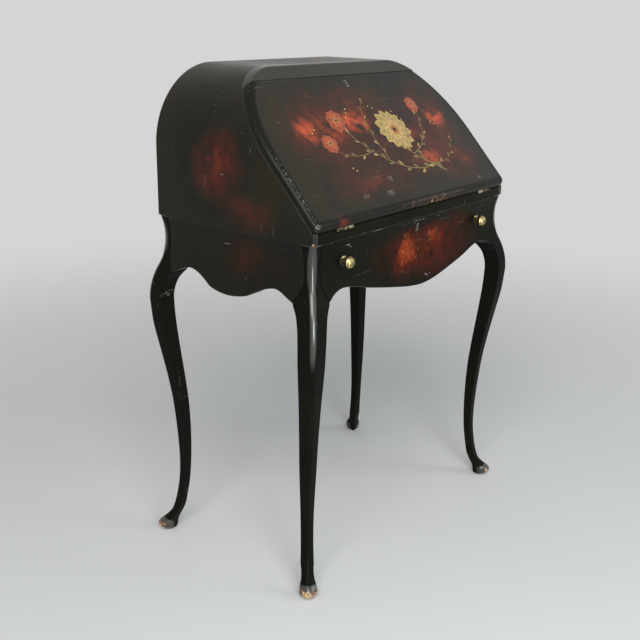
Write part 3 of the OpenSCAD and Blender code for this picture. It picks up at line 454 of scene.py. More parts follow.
class Finish:
    """A material under construction. Its patterns read Object coordinates, so
    they stay with the piece."""

    def __init__(self, name, metallic=0.0, specular=0.5, coat=0.0, coat_roughness=0.1):
        self.material = bpy.data.materials.new(name)
        self.material.use_nodes = True
        self.tree = self.material.node_tree
        self.shader = self.tree.nodes["Principled BSDF"]
        self.give("Metallic", metallic)
        self.give("Specular IOR Level", specular)
        self.give("Coat Weight", coat)
        self.give("Coat Roughness", coat_roughness)
        self.place = self.tree.nodes.new("ShaderNodeTexCoord").outputs["Object"]

    def feed(self, socket, value):
        """Links a socket to another, or sets its value."""
        if isinstance(value, bpy.types.NodeSocket):
            self.tree.links.new(value, socket)
        elif hasattr(value, "__len__") and len(value) == 3 and socket.type == "RGBA":
            socket.default_value = (*value, 1)
        else:
            socket.default_value = value

    def give(self, name, value):
        """Links or sets one of the shader's sockets."""
        self.feed(self.shader.inputs[name], value)

    def moved(self, offset=(0, 0, 0), turn=(0, 0, 0), scale=(1, 1, 1), place=None):
        """The place, scaled, then turned, then moved."""
        node = self.tree.nodes.new("ShaderNodeMapping")
        node.inputs["Location"].default_value = offset
        node.inputs["Rotation"].default_value = turn
        node.inputs["Scale"].default_value = scale
        self.feed(node.inputs["Vector"], place or self.place)
        return node.outputs["Vector"]

    def leaning(self, place=None):
        """The place in the slope's own plane: X across it, Y up it, Z out of it."""
        foot = Matrix.Rotation(-SLOPE, 3, "X") @ Vector((0, HALF_D * MM, -BED_Z * MM))
        return self.moved(foot, turn=(-SLOPE, 0, 0), place=place)

    def noise(self, scale, detail=4.0, roughness=0.55, distortion=0.0, place=None, colour=False):
        """Fractal noise."""
        node = self.tree.nodes.new("ShaderNodeTexNoise")
        self.feed(node.inputs["Vector"], place or self.place)
        node.inputs["Scale"].default_value = scale
        node.inputs["Detail"].default_value = detail
        node.inputs["Roughness"].default_value = roughness
        node.inputs["Distortion"].default_value = distortion
        return node.outputs["Color" if colour else "Fac"]

    def cracks(self, scale):
        """Distance to the nearest border between cells."""
        node = self.tree.nodes.new("ShaderNodeTexVoronoi")
        node.feature = "DISTANCE_TO_EDGE"
        self.feed(node.inputs["Vector"], self.place)
        node.inputs["Scale"].default_value = scale
        return node.outputs["Distance"]

    def attribute(self, name, colour=False):
        """A value or a colour that the mesh carries."""
        node = self.tree.nodes.new("ShaderNodeAttribute")
        node.attribute_name = name
        return node.outputs["Color" if colour else "Fac"]

    def math(self, operation, first, second=0.0, clamp=False):
        """One arithmetic step."""
        node = self.tree.nodes.new("ShaderNodeMath")
        node.operation = operation
        node.use_clamp = clamp
        self.feed(node.inputs[0], first)
        self.feed(node.inputs[1], second)
        return node.outputs[0]

    def times(self, first, second, clamp=False):
        """The product of two values."""
        return self.math("MULTIPLY", first, second, clamp)

    def plus(self, first, second, clamp=False):
        """The sum of two values."""
        return self.math("ADD", first, second, clamp)

    def vector(self, operation, first, second=(0, 0, 0), output="Vector"):
        """One step of vector arithmetic."""
        node = self.tree.nodes.new("ShaderNodeVectorMath")
        node.operation = operation
        self.feed(node.inputs[0], first)
        self.feed(node.inputs[1], second)
        return node.outputs[output]

    def ease(self, value, low, high, start=0.0, end=1.0):
        """Smooth step of a value between two limits."""
        node = self.tree.nodes.new("ShaderNodeMapRange")
        node.interpolation_type = "SMOOTHSTEP"
        for socket, given in zip(node.inputs[:5], (value, low, high, start, end)):
            self.feed(socket, given)
        return node.outputs["Result"]

    def mix(self, factor, first, second, blend="MIX"):
        """Blend of two colours."""
        node = self.tree.nodes.new("ShaderNodeMix")
        node.data_type = "RGBA"
        node.blend_type = blend
        self.feed(node.inputs[0], factor)
        self.feed(node.inputs[6], first)
        self.feed(node.inputs[7], second)
        return node.outputs[2]

    def lay(self, ground, colour, mask, strength=None):
        """A colour laid over a ground where a mask is, at a strength."""
        return self.mix(mask if strength is None else self.times(mask, strength), ground, colour)

    def cloud(self, centre, size, place, edge):
        """A soft patch: 1 within a share of an ellipsoid, easing to 0 at its rim."""
        inverse = [1 / s for s in size]
        offset = [-c * i for c, i in zip(centre, inverse)]
        inside = self.moved(offset, scale=inverse, place=place)
        return self.ease(self.vector("LENGTH", inside, output="Value"), 1.0, edge)

    def billow(self, amount, scale):
        """The place, shifted by coloured noise, so that patches have smoky edges."""
        shift = self.vector("SUBTRACT", self.noise(scale, 5, 0.6, colour=True), (0.5, 0.5, 0.5))
        wide = self.tree.nodes.new("ShaderNodeVectorMath")
        wide.operation = "SCALE"
        self.feed(wide.inputs[0], shift)
        wide.inputs["Scale"].default_value = amount
        return self.vector("ADD", self.place, wide.outputs["Vector"])

    def scratches(self):
        """Thin scuffs in two directions: noise that is stretched along them,
        kept only where it peaks."""
        one_way = self.moved(turn=(0.3, 0.9, 0.2), scale=(9, 520, 520))
        other_way = self.moved(turn=(1.1, -0.4, 0.8), scale=(430, 430, 12))
        first, second = (self.noise(1.0, 2, 0.5, place=run) for run in (one_way, other_way))
        peak = self.math("MAXIMUM", first, second)
        gate = self.ease(self.noise(9, 3), 0.45, 0.62)
        return self.times(self.ease(peak, 0.70, 0.75), gate)

    def relief(self, height, strength, distance):
        """Bump from a height."""
        node = self.tree.nodes.new("ShaderNodeBump")
        node.inputs["Strength"].default_value = strength
        node.inputs["Distance"].default_value = distance
        self.feed(node.inputs["Height"], height)
        self.give("Normal", node.outputs["Normal"])

    def done(self, colour, roughness):
        """Gives the shader its colour and roughness."""
        self.give("Base Color", colour)
        self.give("Roughness", roughness)
        return self.material


def lacquer_surface(finish, ground, colours, sheen, chip_places=(), marks=(),
                    polished=0.5, shine=0.12, pitted=0.6):
    """Lays scuffs, dust and chips over a lacquer ground, and sets its sheen.
    Chips show bare wood and, at their deepest, the pale gesso. A mark is a
    place where broken pale scuffs lie, drawn out along its own axes. Arrises
    that hands have rubbed are pitted, and more polished than the faces by a
    coat and by their own shine; with a shine below 0 they are duller."""
    scuffs = finish.scratches()
    colour = finish.lay(ground, colours.scuff_and_highlight, scuffs, 0.35)
    for centre, size, run in marks:
        place = finish.cloud(centre, size, finish.place, 0.4)
        broken = finish.ease(finish.noise(1.0, 4, 0.65, place=finish.moved(scale=run)), 0.56, 0.61)
        colour = finish.lay(colour, colours.scuff_and_highlight, place, finish.times(broken, 0.7))
    speck = finish.ease(finish.noise(420, 2, 0.6), 0.70, 0.76)
    colour = finish.lay(colour, colours.smoke, speck, 0.22)
    worn = finish.attribute("wear")
    for centre, size in chip_places:
        place = finish.cloud(centre, size, finish.place, 0.3)
        worn = finish.math("MAXIMUM", worn, finish.times(place, 0.88))
    level = finish.plus(finish.noise(130, 6, 0.68), finish.times(worn, WEAR_LIFT))
    chip = finish.ease(level, *CHIPPED_AT)
    colour = finish.lay(colour, colours.smoke, finish.ease(level, *RUBBED_AT), 0.55)
    colour = finish.lay(colour, colours.wood, chip)
    colour = finish.lay(colour, colours.gesso, finish.ease(level, *DEEP_AT))

    polish = finish.ease(worn, *POLISHED_AT)
    finish.give("Specular Tint", WARM_SHINE)
    finish.give("Specular IOR Level", finish.ease(polish, 0, 1, sheen, sheen + shine))
    if polished > 0:
        finish.give("Coat Weight", finish.ease(polish, 0, 1, COAT_SHARE * sheen, polished))
        finish.give("Coat Roughness", RUBBED_COAT)
    rough = finish.ease(finish.noise(5.5, 5, 0.6), 0.3, 0.7, 0.24, 0.40)
    rough = finish.plus(rough, finish.times(polish, 0.04))
    rough = finish.plus(rough, finish.times(scuffs, 0.22))
    rough = finish.plus(rough, finish.times(chip, 0.35), clamp=True)
    grain = finish.math("SUBTRACT", finish.times(finish.noise(240, 3, 0.5), 0.10), chip)
    waves = finish.times(finish.noise(16, 2), 0.6)
    pits = finish.times(finish.noise(260, 3, 0.6), finish.times(polish, pitted))
    finish.relief(finish.plus(finish.plus(grain, waves), pits), 0.35, 0.0004)
    return finish.done(colour, rough)


def smoulder(finish, ground, colours, patches, place, edge, cloudy, thick, heart):
    """Lays smoky patches over a ground where the noise is cloudy, each with a
    glow at its heart. A patch is its centre, size, strength and warmth."""
    for centre, size, strength, warmth in patches:
        patch = finish.cloud(centre, size, place, edge)
        smoke = finish.times(patch, finish.ease(cloudy, 0.28, thick))
        ground = finish.lay(ground, colours.smoke, smoke, strength)
        glow = finish.ease(finish.times(patch, cloudy), *heart)
        ground = finish.lay(ground, colours.glow, glow, warmth)
    return ground


def lacquer_finish(name, colours, glows=(), gold=(), chips=(), marks=(), cast=1.0,
                   sheen=0.035, grain=1.0, polished=0.5, shine=0.12):
    """Black lacquer with a mottled brown cast. Each glow is a smoky red patch
    of a strength and with an orange heart of another, and each gold place has
    broken touches of gold. A greater grain makes the patches finer."""
    finish = Finish(name, specular=sheen, coat=COAT_SHARE * sheen, coat_roughness=SMOOTH_COAT)
    mottle = finish.ease(finish.noise(3.2, 6, 0.62), 0.34, 0.66, 0.0, cast)
    ground = finish.lay(colours.lacquer, colours.umber, mottle)
    smoky = finish.billow(0.075, 8 * grain)
    cloudy = finish.noise(13 * grain, 6, 0.68)
    ground = smoulder(finish, ground, colours, glows, smoky, 0.15, cloudy, 0.64, (0.34, 0.60))
    for centre, size in gold:
        broken = finish.ease(finish.noise(85, 6, 0.72, 0.6), 0.56, 0.64, 0.0, 0.5)
        ground = finish.lay(ground, colours.amber, finish.cloud(centre, size, smoky, 0.4), broken)
    return lacquer_surface(finish, ground, colours, sheen, chips, marks, polished, shine)


def painted_finish(name, colours):
    """The lid's face: lacquer with smoky clouds in the plane of the slope, from
    brown through deep red to an orange heart, under fine crackle. Its arrises
    are black again, with broken scuffs along them, and with painted highlights:
    pale broken specks down the left arris and a pale spot at its lower corner."""
    finish = Finish(name, specular=0.2, coat=0.1, coat_roughness=SMOOTH_COAT)
    left, head = -HALF_W * MM, LID_LEN * MM
    clouds = (
        ((-0.16, 0.20, 0.0), (0.17, 0.13, 0.1), 0.95, 0.55),
        ((-0.02, 0.25, 0.0), (0.15, 0.08, 0.1), 0.65, 0.25),
        ((0.08, 0.15, 0.0), (0.20, 0.13, 0.1), 0.9, 0.3),
        ((0.22, 0.21, 0.0), (0.12, 0.12, 0.1), 0.95, 0.5),
        ((0.22, 0.09, 0.0), (0.12, 0.08, 0.1), 0.8, 0.35),
        ((-0.12, 0.07, 0.0), (0.20, 0.065, 0.1), 0.55, 0.1),
        ((-0.268, 0.008, 0.0), (0.030, 0.022, 0.1), 1.0, 0.7),
    )
    embers = (
        ((-0.06, 0.215, 0.0), (0.060, 0.034, 0.1), 0.8),
        ((-0.215, 0.205, 0.0), (0.042, 0.045, 0.1), 0.65),
        ((0.235, 0.205, 0.0), (0.050, 0.032, 0.1), 0.75),
        ((0.125, 0.105, 0.0), (0.060, 0.024, 0.1), 0.45),
    )
    face_scuffs = (
        ((-0.165, 0.045, 0.0), (0.012, 0.008, 0.1)), ((-0.085, 0.040, 0.0), (0.016, 0.010, 0.1)),
        ((-0.060, 0.072, 0.0), (0.013, 0.008, 0.1)), ((0.255, 0.028, 0.0), (0.010, 0.006, 0.1)),
    )
    edge_scuffs_and_highlights = (
        # Painted highlight: broken pale specks down the left arris, in the scuff colour
        ((left + 0.009, 0.095, 0.0), (0.0040, 0.120, 0.1), 0.65),
        ((0.060, 0.009, 0.0), (0.170, 0.0045, 0.1), 0.45),
        # Painted highlight: a pale hot spot on the round of the lower left corner
        ((left + 0.008, 0.009, 0.0), (0.0065, 0.0075, 0.1), 1.3),
        ((-0.235, head - 0.0012, 0.0), (0.14, 0.0012, 0.1), 0.6),
    )
    smoky = finish.leaning(finish.billow(0.055, 11))
    flat = finish.leaning()
    mottle = finish.ease(finish.noise(4.5, 6, 0.62), 0.38, 0.7)
    ground = finish.lay(colours.lacquer, colours.umber, mottle)
    cloudy = finish.noise(19, 7, 0.7)
    ground = smoulder(finish, ground, colours, clouds, smoky, 0.0, cloudy, 0.62, (0.36, 0.58))
    flicker = finish.ease(finish.noise(34, 6, 0.68, 0.4), 0.40, 0.60)
    for centre, size, strength in embers:
        patch = finish.times(finish.cloud(centre, size, smoky, 0.1), flicker)
        ground = finish.lay(ground, colours.ember, patch, strength)
    strokes = finish.noise(1.0, 5, 0.65, place=finish.moved(scale=(28, 150, 150), place=smoky))
    streak = finish.times(finish.ease(strokes, 0.62, 0.72), finish.ease(cloudy, 0.48, 0.62))
    ground = finish.lay(ground, colours.amber, streak, 0.25)
    crackle = finish.ease(finish.cracks(75), 0.02, 0.0)
    ground = finish.lay(ground, colours.lacquer, crackle, 0.2)
    broken = finish.ease(finish.noise(330, 5, 0.75), 0.51, 0.60, 0.0, 0.85)
    for centre, size in face_scuffs:
        ground = finish.lay(ground, colours.scuff_and_highlight, finish.cloud(centre, size, flat, 0.2), broken)
    rim = finish.ease(finish.attribute("wear"), 0.05, 0.3, 0.0, 0.85)
    ground = finish.lay(ground, colours.lacquer, rim)
    # Lays the real scuffs and the painted highlights in the scuff colour, broken by noise
    for centre, size, strength in edge_scuffs_and_highlights:
        patch = finish.times(finish.cloud(centre, size, flat, 0.2), strength)
        ground = finish.lay(ground, colours.scuff_and_highlight, finish.times(patch, broken, clamp=True))
    patch = finish.cloud((-0.268, 0.006, 0.0), (0.020, 0.014, 0.1), smoky, 0.2)
    ground = finish.lay(ground, colours.smoke, patch, 0.9)
    return lacquer_surface(finish, ground, colours, 0.25, polished=0, shine=-0.14, pitted=2.6)


def gilt_finish(name):
    """Painted gilding: the mesh's own colours, broken by brush marks and rubbed dark."""
    finish = Finish(name, coat=0.25, coat_roughness=SMOOTH_COAT)
    own = finish.attribute("paint", colour=True)
    brush = finish.noise(1.0, 4, 0.6, place=finish.moved(scale=(240, 520, 520)))
    shade = finish.mix(finish.ease(brush, 0.35, 0.7, 0.0, 0.55), own, BRUSHED_GILT, "MULTIPLY")
    rubbed = finish.ease(finish.noise(70, 5, 0.65), 0.60, 0.70)
    colour = finish.lay(shade, RUBBED_GILT, rubbed, 0.65)
    finish.relief(brush, 0.4, 0.0003)
    return finish.done(colour, finish.ease(brush, 0.3, 0.7, 0.3, 0.5))


def wood_finish(name, colours, axis):
    """Oiled wood: long grain along one axis, rings across it, pores and darker streaks."""
    finish = Finish(name, coat=0.08, coat_roughness=0.3)
    rings = [2.2 if i == axis else 34.0 for i in range(3)]
    fine = [8.8 if i == axis else 544.0 for i in range(3)]
    grain = finish.noise(1.0, 6, 0.62, 0.8, place=finish.moved(scale=rings))
    pores = finish.noise(1.0, 3, 0.5, place=finish.moved(scale=fine))
    stain = finish.ease(finish.noise(6, 4), 0.5, 0.75, 0.0, 0.45)
    colour = finish.lay(colours.wood_light, colours.wood_dark, finish.ease(grain, 0.32, 0.68))
    colour = finish.lay(colour, WOOD_PORE, finish.ease(pores, 0.58, 0.70, 0.0, 0.6))
    colour = finish.lay(colour, WOOD_STAIN, stain)
    finish.relief(finish.math("SUBTRACT", grain, pores), 0.25, 0.0005)
    return finish.done(colour, finish.ease(grain, 0.3, 0.7, 0.42, 0.62))


def brass_finish(name, colours, tarnish=0.5, bright=0.0, shaded_mouth=None):
    """Old brass: rubbed metal where the mesh says it is polished, and a brown
    and green patina elsewhere. A bright fitting is worn to a paler metal. A
    shaded mouth is a point and a direction: what lies behind that face is
    painted near black, as the shade inside a keyhole."""
    finish = Finish(name, metallic=1.0)
    cloudy = finish.noise(60, 6, 0.65)
    dull = finish.ease(cloudy, 0.62 - 0.3 * tarnish, 0.80 - 0.3 * tarnish)
    rubbed = finish.ease(finish.attribute("wear"), 0.3, 0.8)
    dull = finish.times(dull, finish.math("SUBTRACT", 1.0, rubbed, clamp=True))
    grain = finish.ease(finish.noise(220, 4), 0.35, 0.7)
    colour = finish.lay(colours.brass, colours.brass_pale, grain)
    colour = finish.lay(colour, BARE_BRASS, bright)
    colour = finish.lay(colour, colours.patina, dull)
    pits = finish.ease(finish.noise(900, 2), 0.66, 0.74)
    colour = finish.lay(colour, BRASS_PIT, pits, 0.5)
    if shaded_mouth:
        point, ahead = shaded_mouth
        off_point = finish.vector("SUBTRACT", finish.place, point)
        level = finish.vector("DOT_PRODUCT", off_point, ahead, "Value")
        # Painted shade: the thread below the face lies inside the keyhole and is laid near black
        colour = finish.lay(colour, KEYHOLE_PAINTED_SHADE, finish.ease(level, -0.0004, -0.0008))
    rough = finish.plus(finish.times(dull, 0.25), finish.ease(cloudy, 0.3, 0.7, 0.2, 0.36))
    finish.relief(finish.noise(340, 3), 0.2, 0.0003)
    return finish.done(colour, rough)


def steel_finish(name):
    """Iron that has darkened: grey with brown specks and fine drawing marks."""
    finish = Finish(name, metallic=1.0)
    drawn = finish.noise(1.0, 3, place=finish.moved(scale=(40, 900, 900)))
    rust = finish.ease(finish.noise(180, 5, 0.65), 0.58, 0.70, 0.0, 0.7)
    colour = finish.lay(IRON, DRAWN_IRON, finish.ease(drawn, 0.3, 0.7))
    colour = finish.lay(colour, RUST, rust)
    finish.relief(drawn, 0.15, 0.0002)
    return finish.done(colour, finish.ease(rust, 0.0, 0.7, 0.32, 0.65))


def leather_finish(name, colours):
    """Skiver: small pebbles from cell borders, darker in the creases, with two
    gilt lines that run round inside the edge."""
    finish = Finish(name, coat=0.1, coat_roughness=0.35)
    half_w, half_len = LEATHER_W / 2 * MM, LEATHER_LEN / 2 * MM
    middle = (0, LEATHER_FOOT * MM + half_len, 0)
    split = finish.tree.nodes.new("ShaderNodeSeparateXYZ")
    off_middle = finish.vector("SUBTRACT", finish.leaning(), middle)
    finish.feed(split.inputs[0], finish.vector("ABSOLUTE", off_middle))
    inset_x = finish.math("SUBTRACT", half_w, split.outputs[0])
    inset_y = finish.math("SUBTRACT", half_len, split.outputs[1])
    inset = finish.math("MINIMUM", inset_x, inset_y)
    pebble = finish.cracks(620)
    folds = finish.noise(14, 5)
    colour = finish.lay(colours.leather, LEATHER_FOLD, finish.ease(folds, 0.35, 0.7))
    colour = finish.lay(colour, LEATHER_CREASE, finish.ease(pebble, 0.10, 0.0, 0.0, 0.6))
    for centre, half in GILT_LINES:
        off = finish.math("ABSOLUTE", finish.math("SUBTRACT", inset, centre))
        rubbed = finish.ease(folds, 0.3, 0.5, 0.4, 1.0)
        colour = finish.lay(colour, colours.gold, finish.ease(off, half + 0.0002, half), rubbed)
    finish.relief(finish.plus(finish.ease(pebble, 0.0, 0.12), folds), 0.35, 0.0004)
    return finish.done(colour, finish.ease(folds, 0.3, 0.7, 0.38, 0.55))


def backdrop_ray(tree):
    """1 for the rays that show the background itself, in view, in metal and
    through glass, and 0 for the rays that carry its light to the object."""
    path = tree.nodes.new("ShaderNodeLightPath")
    seen = path.outputs["Is Camera Ray"]
    for kind in ("Is Glossy Ray", "Is Transmission Ray"):
        either = tree.nodes.new("ShaderNodeMath")
        either.operation = "MAXIMUM"
        tree.links.new(seen, either.inputs[0])
        tree.links.new(path.outputs[kind], either.inputs[1])
        seen = either.outputs[0]
    return seen


def floor_finish(name, colours):
    """Pale floor with a faint trowelled mottle, which takes on the colour of
    the background with the distance from the desk, so that no horizon shows."""
    finish = Finish(name, specular=0.2)
    dim = [c * 0.95 for c in colours.floor]
    finish.done(finish.lay(colours.floor, dim, finish.noise(1.7, 6, 0.6)), 0.8)
    reach = finish.vector("LENGTH", finish.place, output="Value")
    far = finish.times(finish.ease(reach, 0.6, 3.0), backdrop_ray(finish.tree))
    glow = finish.tree.nodes.new("ShaderNodeEmission")
    finish.feed(glow.inputs["Color"], colours.backdrop)
    blend = finish.tree.nodes.new("ShaderNodeMixShader")
    finish.feed(blend.inputs["Fac"], far)
    finish.feed(blend.inputs[1], finish.shader.outputs["BSDF"])
    finish.feed(blend.inputs[2], glow.outputs["Emission"])
    finish.feed(finish.tree.nodes["Material Output"].inputs["Surface"], blend.outputs["Shader"])
    return finish.material


FINISHES = {}


def finish_named(name):
    """Each finish is made once, when a piece first asks for it."""
    if name in FINISHES:
        return FINISHES[name]
    colours = bpy.context.scene.desk_colours
    side = HALF_W * MM
    front = HALF_D * MM
    key_mid, key_tilt, key_seat = key_face()
    makers = {
        "case": lambda: lacquer_finish(
            "case_lacquer", colours,
            glows=(
                ((-side, 0.045, 0.850), (0.12, 0.088, 0.090), 0.8, 0.14),
                ((-side, -0.035, 0.765), (0.12, 0.105, 0.045), 0.4, 0.0),
                ((side, 0.06, 0.85), (0.12, 0.075, 0.09), 0.65, 0.1),
                ((0.02, 0.12, 1.028), (0.20, 0.10, 0.06), 0.35, 0.05),
            ),
            chips=(((-side, -front, 0.733), (0.008, 0.008, 0.006)),),
            marks=(
                ((-side, 0.175, 0.872), (0.02, 0.022, 0.005), (90, 60, 400)),
                ((-side, 0.020, 0.835), (0.02, 0.009, 0.004), (90, 90, 400)),
                ((side, 0.120, 0.880), (0.02, 0.020, 0.005), (90, 60, 400)),
                ((-0.19, -0.02, 1.025), (0.05, 0.012, 0.01), (90, 300, 90)),
            ),
        ),
        "fascia": lambda: lacquer_finish("fascia_lacquer", colours, sheen=0.5),
        "frame": lambda: lacquer_finish(
            "frame_lacquer", colours,
            marks=(((-side, 0.185, 0.565), (0.03, 0.012, 0.008), (90, 200, 300)),),
            cast=0.3, polished=0.96, shine=0.6,
        ),
        "apron": lambda: lacquer_finish(
            "apron_lacquer", colours,
            glows=(((-side, -0.06, 0.675), (0.12, 0.11, 0.06), 0.22, 0.0),),
            marks=(((-side, 0.015, 0.697), (0.03, 0.018, 0.004), (90, 60, 400)),),
            cast=0.7, sheen=0.13,
        ),
        "bed": lambda: lacquer_finish(
            "bed_lacquer", colours,
            marks=(((-0.10, -front, 0.731), (0.26, 0.01, 0.0016), (24, 300, 300)),),
            cast=0.5,
        ),
        "drawer": lambda: lacquer_finish(
            "drawer_lacquer", colours,
            glows=(
                ((0.04, -front, 0.658), (0.24, 0.1, 0.072), 0.55, 0.0),
                ((0.15, -front, 0.690), (0.10, 0.1, 0.045), 0.3, 0.0),
                ((-0.040, -front, 0.664), (0.088, 0.1, 0.050), 0.85, 0.42),
                ((0.066, -front, 0.675), (0.082, 0.1, 0.046), 0.85, 0.42),
            ),
            gold=(
                ((-0.03, -front, 0.668), (0.050, 0.1, 0.032)),
                ((0.055, -front, 0.676), (0.045, 0.1, 0.022)),
            ),
            marks=(
                ((-0.16, -front, 0.7275), (0.23, 0.02, 0.0018), (20, 300, 300)),
                ((-0.235, -front, 0.712), (0.020, 0.02, 0.006), (150, 150, 250)),
                ((0.02, -front, 0.605), (0.020, 0.05, 0.006), (220, 220, 220)),
                ((0.03, -front, 0.722), (0.12, 0.02, 0.004), (24, 300, 400)),
            ),
            cast=0.35, grain=2.0,
        ),
        "lid": lambda: painted_finish("lid_lacquer", colours),
        "gilt": lambda: gilt_finish("spray_gilding"),
        "wood_x": lambda: wood_finish("wood_along_x", colours, 0),
        "wood_y": lambda: wood_finish("wood_along_y", colours, 1),
        "wood_z": lambda: wood_finish("wood_along_z", colours, 2),
        "brass": lambda: brass_finish("fitting_brass", colours, 0.15),
        "hinge_brass": lambda: brass_finish("hinge_brass", colours, 0.8, 0.4),
        # Keyhole threads: bright brass, laid near black below the face as painted shade inside the
        # keyhole
        "lid_thread": lambda: brass_finish(
            "lid_thread_brass", colours, 0.0, 1.0,
            (on_slope(0.0, 0.0, LID_T) * MM, (0, -math.sin(SLOPE), math.cos(SLOPE))),
        ),
        "drawer_thread": lambda: brass_finish(
            "drawer_thread_brass", colours, 0.0, 1.0,
            ((0, key_seat * MM, key_mid * MM), (0, -math.cos(key_tilt), -math.sin(key_tilt))),
        ),
        "knob_brass": lambda: brass_finish("knob_brass", colours, 1.3),
        "steel": lambda: steel_finish("dark_iron"),
        "leather": lambda: leather_finish("tooled_leather", colours),
        "floor": lambda: floor_finish("studio_floor", colours),
    }
    FINISHES[name] = makers[name]()
    return FINISHES[name]


# ---- Nodes that keep their own mesh

def shading_group():
    """Geometry nodes that shade faces smooth except across edges that turn by
    more than SHARP_OVER."""
    name = "soft_shading"
    if name in bpy.data.node_groups:
        return bpy.data.node_groups[name]
    group = bpy.data.node_groups.new(name, "GeometryNodeTree")
    group.interface.new_socket("Geometry", in_out="INPUT", socket_type="NodeSocketGeometry")
    group.interface.new_socket("Geometry", in_out="OUTPUT", socket_type="NodeSocketGeometry")
    start = group.nodes.new("NodeGroupInput")
    end = group.nodes.new("NodeGroupOutput")
    faces = group.nodes.new("GeometryNodeSetShadeSmooth")
    edges = group.nodes.new("GeometryNodeSetShadeSmooth")
    edges.domain = "EDGE"
    edges.inputs["Shade Smooth"].default_value = False
    angle = group.nodes.new("GeometryNodeInputMeshEdgeAngle")
    sharp = group.nodes.new("FunctionNodeCompare")
    sharp.operation = "GREATER_THAN"
    sharp.inputs[1].default_value = math.radians(SHARP_OVER)
    link = group.links.new
    link(start.outputs[0], faces.inputs["Geometry"])
    link(faces.outputs[0], edges.inputs["Geometry"])
    link(angle.outputs[0], sharp.inputs[0])
    link(sharp.outputs[0], edges.inputs["Selection"])
    link(edges.outputs[0], end.inputs[0])
    return group


def soften(node, finish, width, steps):
    """Gives a node its finish, and live modifiers that weld its triangles,
    merge the flat ones, round its edges, shade what is curved smooth and keep
    what is flat flat."""
    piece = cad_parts[node]
    piece.data.materials.clear()
    piece.data.materials.append(finish_named(finish))
    weld = piece.modifiers.new("weld", "WELD")
    weld.merge_threshold = 1e-5
    flat = piece.modifiers.new("flat", "DECIMATE")
    flat.decimate_type = "DISSOLVE"
    flat.angle_limit = math.radians(0.5)
    edge = piece.modifiers.new("edge", "BEVEL")
    edge.width = width * MM
    edge.segments = steps
    edge.limit_method = "ANGLE"
    edge.angle_limit = math.radians(40)
    smooth = piece.modifiers.new("shading", "NODES")
    smooth.node_group = shading_group()
    even = piece.modifiers.new("normals", "WEIGHTED_NORMAL")
    even.keep_sharp = True


# ---- Pieces

def build_leg(name, x_side, y_side, sizes):
    """One cabriole leg. A ring at each height is a square from the inner face
    to the outer one, with a wide round on the outer arris and small ones on the
    other three, of which the two at the sides turn into wide flats towards the
    toe; the rings are stacked from the sole to the case."""
    z = np.concatenate([
        [0, 0.5, 1.5], np.arange(3, 64, 2.0), np.arange(66, KNEE_Z, 6.0),
        np.arange(KNEE_Z, CASE_BASE - 2, 4.0), [CASE_BASE - 1, CASE_BASE - 0.3, CASE_BASE],
    ])
    inset = arris(z, 1.5) + arris(CASE_BASE - z, 0.8)
    high = leg_out(z) - inset
    low = -leg_in(z) + inset
    wide = np.minimum(sizes.leg_arris / MM, 0.36 * (high - low))
    small = np.full_like(z, sizes.soft_arris / MM * 1.5)
    foot = np.clip((FOOT_TOP - z) / (FOOT_TOP - TOE_Z), 0, 1)
    sides = small + (TOE_SLIM - small) * foot
    sides = np.minimum(sides, high - low - wide - 0.1)
    corners = ((wide, 0, 11, 0), (sides, 90, 7, foot), (small, 180, 5, 0), (sides, 270, 7, foot))
    parts = []
    for radius, turn, count, flat in corners:
        angle = np.radians(turn + np.linspace(0, 90, count))
        share = np.linspace(0, 1, count)
        flat = np.broadcast_to(flat, z.shape)[:, None]
        along_x = (high - radius if turn in (0, 270) else low + radius)[:, None]
        along_y = (high - radius if turn in (0, 90) else low + radius)[:, None]
        radius = radius[:, None]
        reach = []
        for centre, wave in ((along_x, np.cos), (along_y, np.sin)):
            chord = wave(angle[0]) * (1 - share) + wave(angle[-1]) * share
            reach.append(centre + radius * (wave(angle) * (1 - flat) + chord * flat))
        parts.append(np.stack(reach, -1))
    ring = np.concatenate(parts, 1)
    rings = np.stack([
        x_side * (HALF_W + ring[..., 0]),
        y_side * (HALF_D + ring[..., 1]),
        np.broadcast_to(z[:, None], ring.shape[:2]),
    ], -1)

    def wear(points):
        """Most on the toe and the sole, some along the outer arris."""
        height = points[:, 2]
        reach = x_side * points[:, 0] - HALF_W + y_side * points[:, 1] - HALF_D
        off = 2 * leg_out(height) - ARRIS_LOSS * LEG_ARRIS_R - reach
        rubbed = 0.42 * np.clip(1.2 - off / 4, 0, 1) * np.clip((height - 455) / 90, 0.35, 1)
        tip = np.clip((32 - height) / 14, 0, 1) * np.clip(0.55 + reach / 45, 0, 1)
        top = 0.5 * np.clip((height - CASE_BASE + 3) / 3, 0, 1)
        return np.maximum(np.maximum(rubbed, 0.95 * tip), top)

    piece = shape(name + "_carved", [capped(rings)])
    finish_piece(piece, "frame", "desk", [name], wear)


# Lower edges of the aprons, as rows of the distance from the ear and the height
# over ARCH_Z, and the height of the lobe in the middle
FRONT_EDGE = [[0, -16], [22, -5], [50, 0], [90, -6], [131, -16], [211, -31.5], [262, -40]]
SIDE_EDGE = [[0, -17], [20, -9], [38, -2], [52, 0], [72, -4.5], [94, -14], [118, -26]]
FRONT_LOBE = -43.5
SIDE_LOBE = -32.5


def apron_low(table, lobe, ear, along):
    """Height of the serpentine lower edge at a distance along: the curve from
    the ear to the lobe in the middle, mirrored past it."""
    mirror = [2 * ear - table[-1][0], table[-1][1]]
    return ARCH_Z + curve(table + [[ear, lobe], mirror], 1, ear - np.abs(along))


